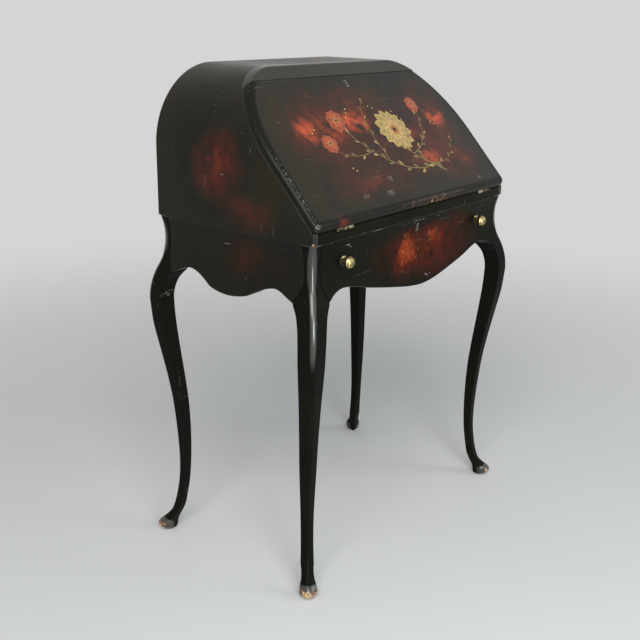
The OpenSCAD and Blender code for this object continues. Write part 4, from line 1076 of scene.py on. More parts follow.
def apron_grids(half, depth, table, lobe, gap, top, sizes):
    """Skin of an apron. Columns run along the ear-to-ear width and rows from
    the lower edge to the top. The ends follow the legs: each column shifts by
    the cube of its share of the half width. The face is the frieze's profile
    less the rounding of whichever edge is near; the back is flat."""
    ear = half - EAR_IN - gap
    share = np.concatenate([quarter(0.012, 6), np.linspace(0.02, 1, 46)[:-1]]) - 1
    share = np.concatenate([share, [0.0], -share[::-1]])
    low = apron_low(table, lobe, ear, share * ear)
    r_low = sizes.apron_arris / MM
    lift = np.concatenate([
        quarter(r_low, 7) / 140, np.linspace(0.03, 1, 44)[:-1], 1 - quarter(1.0, 4)[::-1] / 112,
    ])
    z = low + (top - low) * lift[:, None]
    z_end = EAR_Z + (top - EAR_Z) * lift[:, None]
    end = half - gap - leg_in(z_end)
    along = share * ear + share ** 3 * (end - ear)
    from_end = end - np.abs(along)
    soft = sizes.soft_arris / MM
    face = frieze_out(z) - arris(z - low, r_low) - arris(top - z, soft) - arris(from_end, soft)
    back = -APRON_IN + arris(z - low, 1.0)
    return np.stack([along, depth + face, z], -1), np.stack([along, depth + back, z], -1)


def apron_wear(points, along, ear, table, lobe):
    """Wear of an apron: most at the lower arris, a little under the case."""
    low = apron_low(table, lobe, ear, np.clip(along, -ear, ear))
    rubbed = 0.45 * np.clip(1 - (points[:, 2] - low) / 4, 0, 1)
    return np.maximum(rubbed, 0.35 * np.clip((points[:, 2] - CASE_BASE + 3) / 3, 0, 1))


def build_aprons(sizes):
    """The two side aprons and the one at the back."""
    turns = {
        "apron_left": (HALF_D, HALF_W, SIDE_EDGE, SIDE_LOBE, lambda a, o, z: (-o, a, z)),
        "apron_right": (HALF_D, HALF_W, SIDE_EDGE, SIDE_LOBE, lambda a, o, z: (o, a, z)),
        "apron_back": (HALF_W, HALF_D, FRONT_EDGE, FRONT_LOBE, lambda a, o, z: (a, o, z)),
    }
    for name, (half, depth, table, lobe, turn) in turns.items():
        face, back = apron_grids(half, depth, table, lobe, GLUE_GAP, CASE_BASE, sizes)
        put = [np.stack(turn(g[..., 0], g[..., 1], g[..., 2]), -1) for g in (face, back)]
        piece = shape(name + "_shaped", box_of_grids(*put))
        axis = 0 if name == "apron_back" else 1
        ear = half - EAR_IN - GLUE_GAP
        finish_piece(
            piece, "apron", "desk", [name],
            lambda p, axis=axis, ear=ear, t=table, l=lobe: apron_wear(p, p[:, axis], ear, t, l),
        )


def knob_seat():
    """Y of the seat of each rose: the hollow at its upper edge, less a shallow let-in."""
    return -HALF_D - float(frieze_out(KNOB_Z + ROSE_R)) + ROSE_LET_IN


def knob_frame(side):
    """Place function of a knob's own frame, whose axis points out of the drawer."""
    return lambda a, b, c: np.stack([side * KNOB_X + a, knob_seat() - b, KNOB_Z + c], -1)


def key_face():
    """Height of the middle of the drawer's keyhole, the tilt of the hollow face
    there, and where that face lies."""
    mid = DRAWER_TOP - KEY_DROP - KEY_SKIRT / 2
    return mid, math.asin((mid - WAIST_Z) / HOLLOW_R), -HALF_D - float(frieze_out(mid))


def build_drawer_front(sizes):
    """The drawer front: an apron's skin with the places of the roses, the
    knobs, the keyhole, the lock, the sides and the bottom cut into it."""
    face, back = apron_grids(HALF_W, HALF_D, FRONT_EDGE, FRONT_LOBE, DRAWER_GAP, DRAWER_TOP, sizes)
    flip = np.array([1, -1, 1])
    piece = shape("drawer_front_shaped", box_of_grids(face * flip, back * flip))
    inside = -HALF_D + APRON_IN
    under = DRAWER_LOW + BOTTOM_LIFT

    def into(depth):
        """A cutter's reach from behind the back face into the wood."""
        return inside - depth - FIT, inside + PAST

    cutters = [
        block("lock_room", room(-LOCK_W / 2, LOCK_W / 2), into(LOCK_T),
              (DRAWER_TOP - LOCK_H - FIT, DRAWER_TOP + PAST)),
        block("bottom_groove", room(-BOTTOM_HALF, BOTTOM_HALF), into(BOTTOM_LAP),
              room(under, under + BOTTOM_T)),
    ]
    for side in (-1, 1):
        x = room(*sorted((side * (DRAWER_HALF - DRAWER_SIDE_T), side * DRAWER_HALF)))
        cutters += [
            block("side_lap", x, into(DRAWER_LAP), room(DRAWER_LOW, DRAWER_LOW + DRAWER_SIDE_H)),
            rod("shank_room", SHANK_R + FIT, -40, 5, knob_frame(side)),
            rod("rose_room", ROSE_R + FIT, 0, 12, knob_frame(side)),
        ]
    mid, tilt, seat = key_face()

    def in_face(a, b, c):
        """Place in the keyhole's frame, square to the hollow face."""
        c = c + KEY_SKIRT / 2
        y = seat + b * math.cos(tilt) - c * math.sin(tilt)
        z = mid + b * math.sin(tilt) + c * math.cos(tilt)
        return np.stack(np.broadcast_arrays(a, y, z), -1)

    cutters.append(keyhole("keyhole", 0, -PAST, APRON_IN + 4.5, in_face))
    cutters.append(keyhole("thread_room", THREAD, -PAST, THREAD_DEPTH, in_face))
    carve(piece, cutters)
    ear = HALF_W - EAR_IN - DRAWER_GAP

    def wear(points):
        """Apron wear, and more along the top edge, where the lid has scuffed it."""
        top = 0.55 * np.clip((points[:, 2] - DRAWER_TOP + 2) / 2, 0, 1)
        return np.maximum(apron_wear(points, points[:, 0], ear, FRONT_EDGE, FRONT_LOBE), top)

    finish_piece(piece, "drawer", "drawer", ["drawer_front"], wear)


def build_shell(sizes):
    """The bent shell. The path is the barrel's outline: up one side, round the
    shoulder, across the top and down. At each place on it the section is the
    wall's thickness by its depth, from the slope to the back, with soft edges."""
    soft = sizes.soft_arris / MM
    rise = np.array([CASE_BASE, CASE_BASE + 0.3, CASE_BASE + 1, 740, 749.45, 752, 760, 790, 830])
    sweep = np.linspace(0, math.pi / 2, 44)
    flat = np.linspace(-SHOULDER_X, 0, 6)[1:]
    shoulder = -SHOULDER_X - SHOULDER_R * np.cos(sweep)
    x = np.concatenate([np.full(len(rise), -HALF_W), shoulder, flat])
    z = np.concatenate([rise, SPRING_Z + SHOULDER_R * np.sin(sweep), np.full(5, CASE_TOP)])
    in_x = np.concatenate([np.ones(len(rise)), np.cos(sweep), np.zeros(5)])
    in_z = np.concatenate([np.zeros(len(rise)), -np.sin(sweep), -np.ones(5)])
    tuck = np.concatenate([[1.0, 0.3, 0.0], np.zeros(len(x) - 3)])
    x, z = np.concatenate([x, -x[-2::-1]]), np.concatenate([z, z[-2::-1]])
    in_x, in_z = np.concatenate([in_x, -in_x[-2::-1]]), np.concatenate([in_z, in_z[-2::-1]])
    tuck = np.concatenate([tuck, tuck[-2::-1]])
    # Section: depth into the wall, share of the way to the back, step along Y
    loop = np.array([
        [0, 0, soft], [0, 1, -soft], [0.3 * soft, 1, -0.3 * soft], [soft, 1, 0],
        [SHELL_T - soft, 1, 0], [SHELL_T, 1, -soft], [SHELL_T, 0, soft],
        [SHELL_T - soft, 0, 0], [soft, 0, 0], [0.3 * soft, 0, 0.3 * soft],
    ])
    into = np.maximum(loop[:, 0], tuck[:, None])
    px = x[:, None] + into * in_x[:, None]
    pz = z[:, None] + into * in_z[:, None]
    front = case_front(pz)
    py = front + (HALF_D - front) * loop[:, 1] + loop[:, 2]
    piece = shape("case_shell_bent", [capped(np.stack([px, py, pz], -1))])

    def wear(points):
        """Along the front and back arrises and the foot of the case."""
        near = np.minimum(points[:, 1] - case_front(points[:, 2]), HALF_D - points[:, 1])
        foot = np.clip((CASE_BASE + 3 - points[:, 2]) / 3, 0, 1)
        return np.maximum(0.42 * np.clip(1 - near / 2.5, 0, 1), 0.36 * foot)

    finish_piece(piece, "case", "desk", ["case_shell"], wear, angle=50)


def lid_depth(u, half_to_side):
    """Distance from a point of the lid's face to its outline: the nearer of the
    side and the foot, or the distance to the round of the lower corner."""
    foot = u - LID_FOOT
    r = LID_CORNER_R
    straight = np.minimum(half_to_side, foot)
    corner = r - np.hypot(r - np.clip(half_to_side, 0, r), r - np.clip(foot, 0, r))
    return np.where((half_to_side < r) & (foot < r), np.maximum(corner, 0), straight)


def lid_grid(u, across, level, radius, top_radius):
    """Grid of one face of the lid. The half width at each place is the barrel's
    at its height, less the round of the lower corner, and the face drops by the
    arris at its distance from the outline. As the height depends on the drop,
    the two are worked out together a few times."""
    a, b = across
    n = np.full((len(u), len(a)), float(level))
    sign = -1.0 if level else 1.0
    rows = u[:, None]
    for _ in range(5):
        side = barrel_half(BED_Z + rows * math.sin(SLOPE) + n * math.cos(SLOPE))
        x = a * (side - arris(rows - LID_FOOT, LID_CORNER_R)) - b
        depth = lid_depth(rows, side - np.abs(x))
        n = level + sign * (arris(depth, radius) + arris(LID_LEN - rows, top_radius))
    return on_slope(x, rows, n)


def build_lid(sizes):
    """The lid: its face with a broad round arris at the sides and the foot, its
    flat back, and the places of the leather, the hinges and the lock."""
    radius = sizes.lid_arris / MM
    foot = LID_FOOT + quarter(LID_CORNER_R, 16)
    end = LID_LEN - np.array([2.4, 1.2, 0.7, 0.3, 0.0])
    u = np.concatenate([foot, np.linspace(foot[-1], end[0], 62)[1:-1], end])
    edge = np.concatenate([quarter(radius, 11), radius + np.array([3.0, 9.0, 20.0])])
    across = columns(edge, 40)
    face = lid_grid(u, across, LID_T, radius, 1.0)
    back = lid_grid(u, across, 0.0, 0.8, 0.5)
    piece = shape("lid_panel_shaped", box_of_grids(face, back))
    cutters = [
        block("leather_room", room(-LEATHER_W / 2, LEATHER_W / 2),
              room(LEATHER_FOOT, LEATHER_FOOT + LEATHER_LEN), (-PAST, LEATHER_T), on_slope),
        block("lock_room", room(-LOCK_W / 2, LOCK_W / 2),
              (LID_LEN - LOCK_H - FIT, LID_LEN + PAST), (-PAST, LOCK_T + FIT), on_slope),
    ]
    for x in (-HINGE_X, HINGE_X):

        def along_hinge(a, b, c, x=x):
            """Place about the hinge axis."""
            return np.stack([x + b, -HALF_D + a, BED_Z + c], -1)

        reach = HINGE_LEN / 2
        end = reach + KNUCKLE_END
        cutters += [
            rod("knuckle_room", KNUCKLE_ROOM, -end, end, along_hinge),
            block("leaf_room", room(x - reach, x + reach), (LEAF_START, LEAF_W + FIT),
                  (-PAST, LEAF_T), on_slope),
        ]

    def in_lid(a, b, c):
        """Place in the keyhole's frame, where b is the depth below the face."""
        return on_slope(a, LID_LEN - KEY_DROP + c, LID_T - b)

    cutters.append(keyhole("keyhole", 0, -PAST, LID_T - 1, in_lid))
    cutters.append(keyhole("thread_room", THREAD, -PAST, THREAD_DEPTH, in_lid))
    carve(piece, cutters)

    def wear(points):
        """Along the arris, most at the foot and its corners."""
        u_at, n_at = off_slope(points)
        depth = lid_depth(u_at, barrel_half(points[:, 2]) - np.abs(points[:, 0]))
        rim = np.clip((1.8 - depth / radius) / 0.8, 0, 1) * np.clip(n_at / 4, 0, 1)
        low = np.clip((30 - u_at) / 30, 0, 1)
        chipped = 0.25 * np.exp(-((points[:, 0] - 60) / 120) ** 2) * np.clip((14 - u_at) / 4, 0, 1)
        speckled = 0.12 * np.exp(-((u_at - 150) / 75) ** 2)
        return rim * (0.34 + 0.16 * low + chipped + speckled)

    finish_piece(piece, "lid", "lid", ["lid_panel"], wear)


def build_fascia():
    """The strip above the lid. Rows run from the joint to the flat top, columns
    across it to the barrel's outline at that height, and the face drops by a
    soft arris. Its lower edge has the places of the strike and the bolt."""
    share = np.concatenate([
        [0, 0.01, 0.03], np.linspace(0.08, 0.86, 10), 1 - quarter(0.12, 7)[::-1],
    ])
    rows = share[:, None]
    a, b = columns(np.concatenate([quarter(4.0, 8), np.array([8.0, 16.0])]), 34)
    start = LID_LEN + JOINT_GAP

    def grid(level):
        """One face, at a level out of the slope."""
        n = np.full((len(share), len(a)), float(level))
        for _ in range(5):
            stop = (CASE_TOP - BED_Z - n * math.cos(SLOPE)) / math.sin(SLOPE)
            u = start + rows * (stop - start)
            half = barrel_half(BED_Z + u * math.sin(SLOPE) + n * math.cos(SLOPE))
            x = a * half - b
            if level > 0:
                near = np.minimum(half - np.abs(x), (stop - u) * 0.9)
                n = level - 0.55 * arris(near, 4.0) - arris(u - start, 1.0)
        return on_slope(x, u, n)

    piece = shape("fascia_shaped", box_of_grids(grid(LID_T), grid(-SEAT_GAP)))
    cutters = [
        block("strike_room", room(-STRIKE_HALF, STRIKE_HALF),
              (start - PAST, start + STRIKE_T + FIT), (-PAST, STRIKE_DEPTH + FIT), on_slope),
        block("bolt_room", (-BOLT_HALF, BOLT_HALF), (start - PAST, start + BOLT_REACH),
              BOLT_DEPTHS, on_slope),
    ]
    carve(piece, cutters)

    def wear(points):
        """Along the joint and the edge of the top."""
        top = np.clip(1 - (CASE_TOP - points[:, 2]) / 3, 0, 1)
        from_joint = off_slope(points)[0] - start
        return np.maximum(0.36 * top, 0.40 * np.clip(1 - from_joint / 1.5, 0, 1))

    finish_piece(piece, "fascia", "desk", ["fascia"], wear)


# Turned profiles, as rows of the distance along the axis and the radius
KNOB_PROFILE = [
    [-27, 0], [-27, 2.6], [-26.6, 3], [2.2, 3], [2.5, 5.4], [3.0, 5.9], [3.7, 5.8], [4.3, 4.9],
    [5.4, 4.1], [7.2, 3.7], [8.8, 3.9], [10.2, 4.9], [11.2, 6.6], [11.9, 8.7], [12.5, 10.5],
    [13.3, 11.6], [14.3, 12.0], [15.4, 11.9], [16.2, 11.4], [16.6, 10.8], [17.0, 10.7],
    [17.5, 10.8], [18.7, 10.4], [20.1, 9.5], [21.5, 8.0], [22.6, 6.2], [23.4, 4.1],
    [23.85, 2.0], [24, 0],
]
ROSE_PROFILE = [
    [0, 3.1], [0, 10.9], [0.5, 11], [0.9, 10.8], [1.2, 10.2], [1.25, 9.6], [1.1, 9.1], [1.5, 8.7],
    [1.9, 8.0], [2.0, 7.3], [1.8, 6.8], [2.2, 6.3], [2.4, 5.6], [2.5, 4.8], [2.4, 3.1], [0, 3.1],
]


def build_knobs():
    """Each knob is a mushroom on a waisted neck and each rose a ring of beads,
    both turned about the knob's axis."""

    def rubbed(points):
        """The dome is rubbed bright, most at its rim, and the neck stays dull."""
        out_by = knob_seat() - points[:, 1]
        return np.clip((out_by - 12) / 3, 0, 1) * np.clip(1 - (out_by - 16) / 16, 0, 1)

    def painted_rim_highlight(points):
        """Painted highlight: the rose stays dark with patina but for the upper part
        of its rim, which is made bright brass where it would catch the light.
        """
        return np.clip((points[:, 2] - KNOB_Z - 5) / 4, 0, 1)

    for name, side in (("left", -1), ("right", 1)):
        for node, profile, wear in (
            ("drawer_knob_" + name, KNOB_PROFILE, rubbed),
            ("knob_rose_" + name, ROSE_PROFILE, painted_rim_highlight),
        ):
            piece = shape(node + "_turned", [turned(profile, 48, knob_frame(side))])
            finish_piece(piece, "knob_brass", "drawer", [node], wear, angle=60)


def petal(base, angle, length, width, curl, lift, tip, root):
    """One petal or leaf: a lens along an arc, as a grid and its colours.

    The middle line starts at the base and turns by the curl over its length.
    Half the width is the sine of the way along, to a power that rounds it. The
    section is an ellipse whose upper half stands proud of the lid."""
    way = np.linspace(0, 1, 11)[:, None]
    round_ = np.linspace(0, 2 * math.pi, 13)[None, :]
    heading = angle + curl * way
    mid_heading = angle + curl * way / 2
    x = base[0] + length * way * np.cos(mid_heading)
    u = base[1] + length * way * np.sin(mid_heading)
    half = width / 2 * np.sin(math.pi * way ** 1.15) ** 0.8
    half = np.where((way == 0) | (way == 1), 0, half)
    side = half * np.cos(round_)
    swell = np.where(np.sin(round_) > 0, 0.9, 0.12) * np.sin(round_) * half / (width / 2)
    n = LID_T + lift + swell
    grid = on_slope(x - side * np.sin(heading), u + side * np.cos(heading), n)
    rib = 1 - 0.40 * np.exp(-(np.cos(round_) / 0.16) ** 2) - 0.35 * np.abs(np.cos(round_)) ** 6
    blend = np.broadcast_to(way ** 0.8, (11, 13))[..., None]
    colour = (np.array(root) * (1 - blend) + np.array(tip) * blend) * rib[..., None]
    return grid, colour


def stem(points, thick, colour):
    """A stem: a flattened tube whose middle line is a cubic Bezier curve and
    whose thickness tapers to a quarter at its end."""
    t = np.linspace(0, 1, 40)[:, None]
    p = np.array(points, float)
    s = 1 - t
    line = s ** 3 * p[0] + 3 * t * s ** 2 * p[1] + 3 * t * t * s * p[2] + t ** 3 * p[3]
    way = np.gradient(line, axis=0)
    way /= np.linalg.norm(way, axis=1, keepdims=True)
    round_ = np.linspace(0, 2 * math.pi, 9)[None, :]
    radius = thick / 2 * (1 - 0.75 * t)
    side = radius * np.cos(round_)
    n = LID_T + 0.05 + np.where(np.sin(round_) > 0, 0.35, 0.1) * np.sin(round_)
    tube = on_slope(line[:, :1] - side * way[:, 1:], line[:, 1:] + side * way[:, :1], n)
    ends = [np.broadcast_to(tube[i, :-1].mean(0), tube[:1].shape) for i in (0, -1)]
    grid = np.concatenate([ends[0], tube, ends[1]])
    return grid, np.broadcast_to(np.array(colour, float), grid.shape), line, way


PETAL_SPREAD = 2.2575  # a petal's width, per radius and sine of half its share of the turn


def blossom(centre, radius, rings, turn):
    """An open flower: rings of petals about a centre, each ring shorter, higher
    and turned by half a petal. Each ring is (count, share of the radius, tip
    colour, root colour)."""
    parts = []
    for level, (count, share, tip, root) in enumerate(rings):
        for k in range(count):
            angle = turn + (k + 0.5 * level) * 2 * math.pi / count
            wobble = 0.06 * math.sin(5.3 * k + 2.1 * level)
            heart = 0.08 * radius
            base = (centre[0] + heart * math.cos(angle), centre[1] + heart * math.sin(angle))
            length = radius * share * (0.95 + wobble)
            width = PETAL_SPREAD * radius * share * math.sin(math.pi / count)
            curl, lift = 0.25 * (-1) ** level, 0.1 + 0.22 * level
            parts.append(petal(base, angle, length, width, curl, lift, tip, root))
    return parts


def build_spray(sizes):
    """The gilt spray on the lid: one large pale blossom, three red ones, stems
    with paired leaves and dots of gold. It is laid on the face and rides on it."""
    colours = bpy.context.scene.desk_colours
    gold, pale = np.array(colours.gold[:]), np.array(colours.pale_gold[:])
    red, amber = np.array(colours.petal_red[:]), np.array(colours.amber[:])
    olive = np.array(colours.olive[:])
    parts = []
    scale = sizes.spray_scale
    parts += blossom((58, 182), 52 * scale, [
        (13, 1.0, pale * 0.62 + olive * 0.5, gold * 0.35), (11, 0.80, pale * 0.85, gold * 0.45),
        (9, 0.58, pale, gold * 0.55), (7, 0.38, pale * 0.9 + amber * 0.1, gold * 0.6),
        (5, 0.20, amber, red * 0.5),
    ], 0.2)
    small = (((-112, 222), 27, 0.5), ((-172, 172), 22, 0.1), ((178, 240), 21, 0.9))
    for centre, radius, turn in small:
        parts += blossom(centre, radius * scale, [
            (8, 1.0, red * 0.75, red * 0.18), (7, 0.74, red + amber * 0.08, red * 0.30),
            (6, 0.48, red * 0.9 + amber * 0.25, red * 0.4), (5, 0.24, amber, amber * 0.35),
        ], turn)
    stems = [
        ([(150, 62), (108, 92), (70, 112), (54, 140)], 2.6, 6, 24),
        ([(122, 84), (30, 62), (-60, 120), (-104, 200)], 2.2, 11, 21),
        ([(-52, 142), (-98, 128), (-140, 132), (-166, 156)], 1.7, 5, 17),
        ([(74, 118), (128, 130), (170, 168), (173, 220)], 1.9, 8, 18),
        ([(-20, 116), (-30, 176), (-26, 226), (6, 262)], 1.5, 7, 16),
        ([(112, 88), (170, 78), (214, 96), (238, 138)], 1.5, 7, 16),
    ]
    for points, thick, count, length in stems:
        grid, colour, line, way = stem(points, thick, olive * 1.2)
        parts.append((grid, colour))
        for k in range(count):
            at = int(3 + 34 * k / max(count - 1, 1))
            heading = math.atan2(way[at, 1], way[at, 0])
            side = 1 if k % 2 else -1
            tone = (olive, gold * 0.8, olive * 0.7)[k % 3]
            size = length * (1 - 0.35 * k / count)
            parts.append(petal(line[at], heading + side * 0.75, size, size * 0.36, -side * 0.5,
                               0.05, tone * 1.25, olive * 0.5))
        heading = math.atan2(way[-1, 1], way[-1, 0])
        parts.append(petal(line[-1], heading, 9, 5, 0.1, 0.1, amber, red * 0.7))
    spots = [
        (96, 214), (104, 204), (88, 226), (-64, 236), (-58, 246), (-72, 228), (22, 250), (30, 244),
        (206, 190), (214, 182), (-196, 206), (-204, 198), (-150, 108), (-142, 102), (140, 150),
        (148, 156),
    ]
    for k, spot in enumerate(spots):
        parts.append(petal(spot, 0.7 * k, 4.2, 3.6, 0, 0.05, pale, gold))
    piece = shape("lid_gilt_spray", *zip(*parts))
    finish_piece(piece, "gilt", "lid", [], angle=60)


# ---- Properties

def length_property(name, description, default, low, high):
    """A length in metres between two limits."""
    return FloatProperty(name=name, description=description, default=default, min=low, max=high,
                         subtype="DISTANCE", unit="LENGTH", precision=4)


def colour_property(name, description, default):
    """A colour in linear red, green and blue."""
    return FloatVectorProperty(name=name, description=description, default=default, min=0, max=1,
                               size=3, subtype="COLOR")


class DeskSizes(bpy.types.PropertyGroup):
    """Sizes that give the desk its character without moving a part."""

    lid_arris: length_property(
        "Lid arris", "Radius of the rounded edge of the lid", 0.012, 0.003, 0.014)
    leg_arris: length_property(
        "Leg arris", "Radius of the outer arris of each leg", LEG_ARRIS_R * MM, 0.006, 0.013)
    apron_arris: length_property(
        "Apron arris", "Radius of the lower edge of the aprons", 0.003, 0.001, 0.006)
    soft_arris: length_property(
        "Soft arris", "Radius of the other lacquered edges", 0.001, 0.0004, 0.002)
    spray_scale: FloatProperty(
        name="Spray scale", description="Size of the blossoms on the lid",
        default=1.0, min=0.6, max=1.3, subtype="FACTOR")


class DeskColours(bpy.types.PropertyGroup):
    """Colours of the finishes."""

    lacquer: colour_property("Lacquer", "Black ground of the lacquer", (0.0040, 0.0048, 0.0035))
    umber: colour_property("Umber", "Brown cast in the lacquer", (0.0128, 0.0097, 0.0034))
    smoke: colour_property("Smoke", "Red-brown of the smoky patches", (0.095, 0.012, 0.005))
    glow: colour_property("Glow", "Orange-red heart of the smoky patches", (0.36, 0.060, 0.014))
    ember: colour_property("Ember", "Hot orange in the clouds of the lid", (0.66, 0.100, 0.030))
    amber: colour_property("Amber", "Gold touches in the lacquer", (0.52, 0.24, 0.055))
    # This colour paints real scratches, and also the painted highlights on the lid's left arris and
    # lower corner
    scuff_and_highlight: colour_property("Scuff", "Scratches in the lacquer", (0.36, 0.34, 0.29))
    wood: colour_property("Chipped wood", "Wood that shows at the worn edges", (0.27, 0.125, 0.042))
    gesso: colour_property("Gesso", "Pale ground that shows in deep chips", (0.60, 0.42, 0.21))
    gold: colour_property("Gold", "Gold of the spray and the leather's line", (0.56, 0.34, 0.085))
    pale_gold: colour_property("Pale gold", "Light gold of the large blossom", (0.70, 0.48, 0.16))
    petal_red: colour_property("Petal red", "Orange-red of the small blossoms", (0.55, 0.085, 0.02))
    olive: colour_property("Olive", "Leaves and stems of the spray", (0.20, 0.14, 0.035))
    brass: colour_property("Brass", "Brass of the fittings", (0.46, 0.32, 0.11))
    brass_pale: colour_property("Pale brass", "Rubbed brass", (0.66, 0.53, 0.28))
    patina: colour_property("Patina", "Tarnish of the brass", (0.050, 0.042, 0.019))
    wood_light: colour_property("Light grain", "Light grain of the bare wood", (0.34, 0.17, 0.07))
    wood_dark: colour_property("Dark grain", "Dark grain of the bare wood", (0.17, 0.075, 0.03))
    leather: colour_property("Leather", "Leather of the writing side", (0.085, 0.022, 0.014))
    floor: colour_property("Floor", "Studio floor", (0.68, 0.68, 0.67))
    backdrop: colour_property("Backdrop", "Background behind the desk", (0.66, 0.665, 0.66))


# ---- Operators

class Maker:
    """What every operator here shares: it does its work or stops with an error."""

    bl_options = {"REGISTER", "UNDO"}

    def execute(self, context):
        self.make(context.scene.desk_sizes)
        return {"FINISHED"}


class Softener(Maker):
    """What the operators share whose nodes keep their own mesh. Each row holds a
    finish, the width and the steps of the softened edges, and the nodes."""

    rows = ()

    def make(self, sizes):
        for finish, width, steps, nodes in self.rows:
            for node in nodes:
                soften(node, finish, width, steps)


class DESK_OT_legs(Maker, bpy.types.Operator):
    """Carve the four cabriole legs"""

    bl_idname = "desk.legs"
    bl_label = "Legs"

    def make(self, sizes):
        for name, x_side, y_side in (
            ("leg_front_left", -1, -1), ("leg_front_right", 1, -1),
            ("leg_back_left", -1, 1), ("leg_back_right", 1, 1),
        ):
            build_leg(name, x_side, y_side, sizes)


class DESK_OT_aprons(Maker, bpy.types.Operator):
    """Shape the side and back aprons"""

    bl_idname = "desk.aprons"
    bl_label = "Aprons"

    def make(self, sizes):
        build_aprons(sizes)


class DESK_OT_drawer_front(Maker, bpy.types.Operator):
    """Shape the drawer front"""

    bl_idname = "desk.drawer_front"
    bl_label = "Drawer front"

    def make(self, sizes):
        build_drawer_front(sizes)


class DESK_OT_shell(Maker, bpy.types.Operator):
    """Bend the shell of the case"""

    bl_idname = "desk.shell"
    bl_label = "Case shell"

    def make(self, sizes):
        build_shell(sizes)


class DESK_OT_lid(Maker, bpy.types.Operator):
    """Shape the lid"""

    bl_idname = "desk.lid"
    bl_label = "Lid"

    def make(self, sizes):
        build_lid(sizes)


class DESK_OT_fascia(Maker, bpy.types.Operator):
    """Shape the fascia above the lid"""

    bl_idname = "desk.fascia"
    bl_label = "Fascia"

    def make(self, sizes):
        build_fascia()


class DESK_OT_spray(Maker, bpy.types.Operator):
    """Lay the gilt spray on the lid"""

    bl_idname = "desk.spray"
    bl_label = "Gilt spray"

    def make(self, sizes):
        build_spray(sizes)


class DESK_OT_knobs(Maker, bpy.types.Operator):
    """Turn the knobs and their roses"""

    bl_idname = "desk.knobs"
    bl_label = "Knobs and roses"

    def make(self, sizes):
        build_knobs()


class DESK_OT_boards(Softener, bpy.types.Operator):
    """Finish the writing bed, the back and the rail behind the fascia"""

    bl_idname = "desk.boards"
    bl_label = "Case boards"
    rows = (
        ("bed", 0.9, 3, ["writing_bed"]),
        ("frame", 0.6, 2, ["case_back"]),
        ("frame", 0.5, 2, ["fascia_rail"]),
    )


class DESK_OT_gallery(Softener, bpy.types.Operator):
    """Finish the gallery of pigeonholes"""

    bl_idname = "desk.gallery"
    bl_label = "Gallery"
    rows = (
        ("wood_x", 0.6, 2, ["gallery_shelf", "gallery_top"]),
        ("wood_z", 0.6, 2, ["gallery_end_left", "gallery_end_right",
                            "gallery_dividers_lower", "gallery_dividers_upper"]),
    )


class DESK_OT_drawer_box(Softener, bpy.types.Operator):
    """Finish the drawer box, its runners and its stops"""

    bl_idname = "desk.drawer_box"
    bl_label = "Drawer box"
    rows = (
        ("wood_y", 0.5, 2, ["drawer_side_left", "drawer_side_right", "drawer_runner_left",
                            "drawer_runner_right", "drawer_stops"]),
        ("wood_x", 0.4, 2, ["drawer_back", "drawer_bottom"]),
    )


class DESK_OT_locks(Softener, bpy.types.Operator):
    """Finish the locks, the strikes and the keyhole threads"""

    bl_idname = "desk.locks"
    bl_label = "Locks"
    rows = (
        ("brass", 0.25, 2, ["lid_lock_case", "drawer_lock_case", "lid_strike", "drawer_strike"]),
        ("lid_thread", 0.12, 2, ["lid_escutcheon"]),
        ("drawer_thread", 0.12, 2, ["drawer_escutcheon"]),
        ("steel", 0.3, 2, ["lid_lock_bolt", "drawer_lock_bolt"]),
    )


class DESK_OT_hinges(Softener, bpy.types.Operator):
    """Finish the hinges, their pins and all the screws"""

    bl_idname = "desk.hinges"
    bl_label = "Hinges and screws"
    rows = (
        ("hinge_brass", 0.3, 2, ["hinge_bed_leaf_left", "hinge_lid_leaf_left",
                                 "hinge_bed_leaf_right", "hinge_lid_leaf_right"]),
        ("brass", 0.15, 2, ["hinge_screws_bed", "hinge_screws_lid", "back_screws"]),
        ("steel", 0.2, 2, ["hinge_pins", "case_screws", "knob_nuts"]),
    )


class DESK_OT_stays(Softener, bpy.types.Operator):
    """Finish the folding stays"""

    bl_idname = "desk.stays"
    bl_label = "Stays"
    rows = (
        ("brass", 0.35, 2, ["stay_" + part + "_" + side for side, part in itertools.product(
            ("left", "right"), ("case_bracket", "lid_bracket", "case_arm", "lid_arm"))]),
    )


class DESK_OT_leather(Softener, bpy.types.Operator):
    """Finish the leather of the writing side"""

    bl_idname = "desk.leather"
    bl_label = "Leather"
    rows = (("leather", 0.4, 3, ["lid_leather"]),)


class DESK_OT_stage(Maker, bpy.types.Operator):
    """Set the floor, the lamps and the camera"""

    bl_idname = "desk.stage"
    bl_label = "Stage"

    def make(self, sizes):
        set_floor()
        set_lamps()
        set_camera()


def set_floor():
    """A wide pale floor below the soles."""
    reach = np.array([-FLOOR_REACH, FLOOR_REACH])
    x, y = np.meshgrid(reach, reach, indexing="ij")
    floor = shape("studio_floor", [np.stack([x, y, 0 * x - FLOOR_DROP], -1)])
    floor.data.materials.append(finish_named("floor"))
    if floor.data.polygons[0].normal.z < 0:
        floor.data.flip_normals()


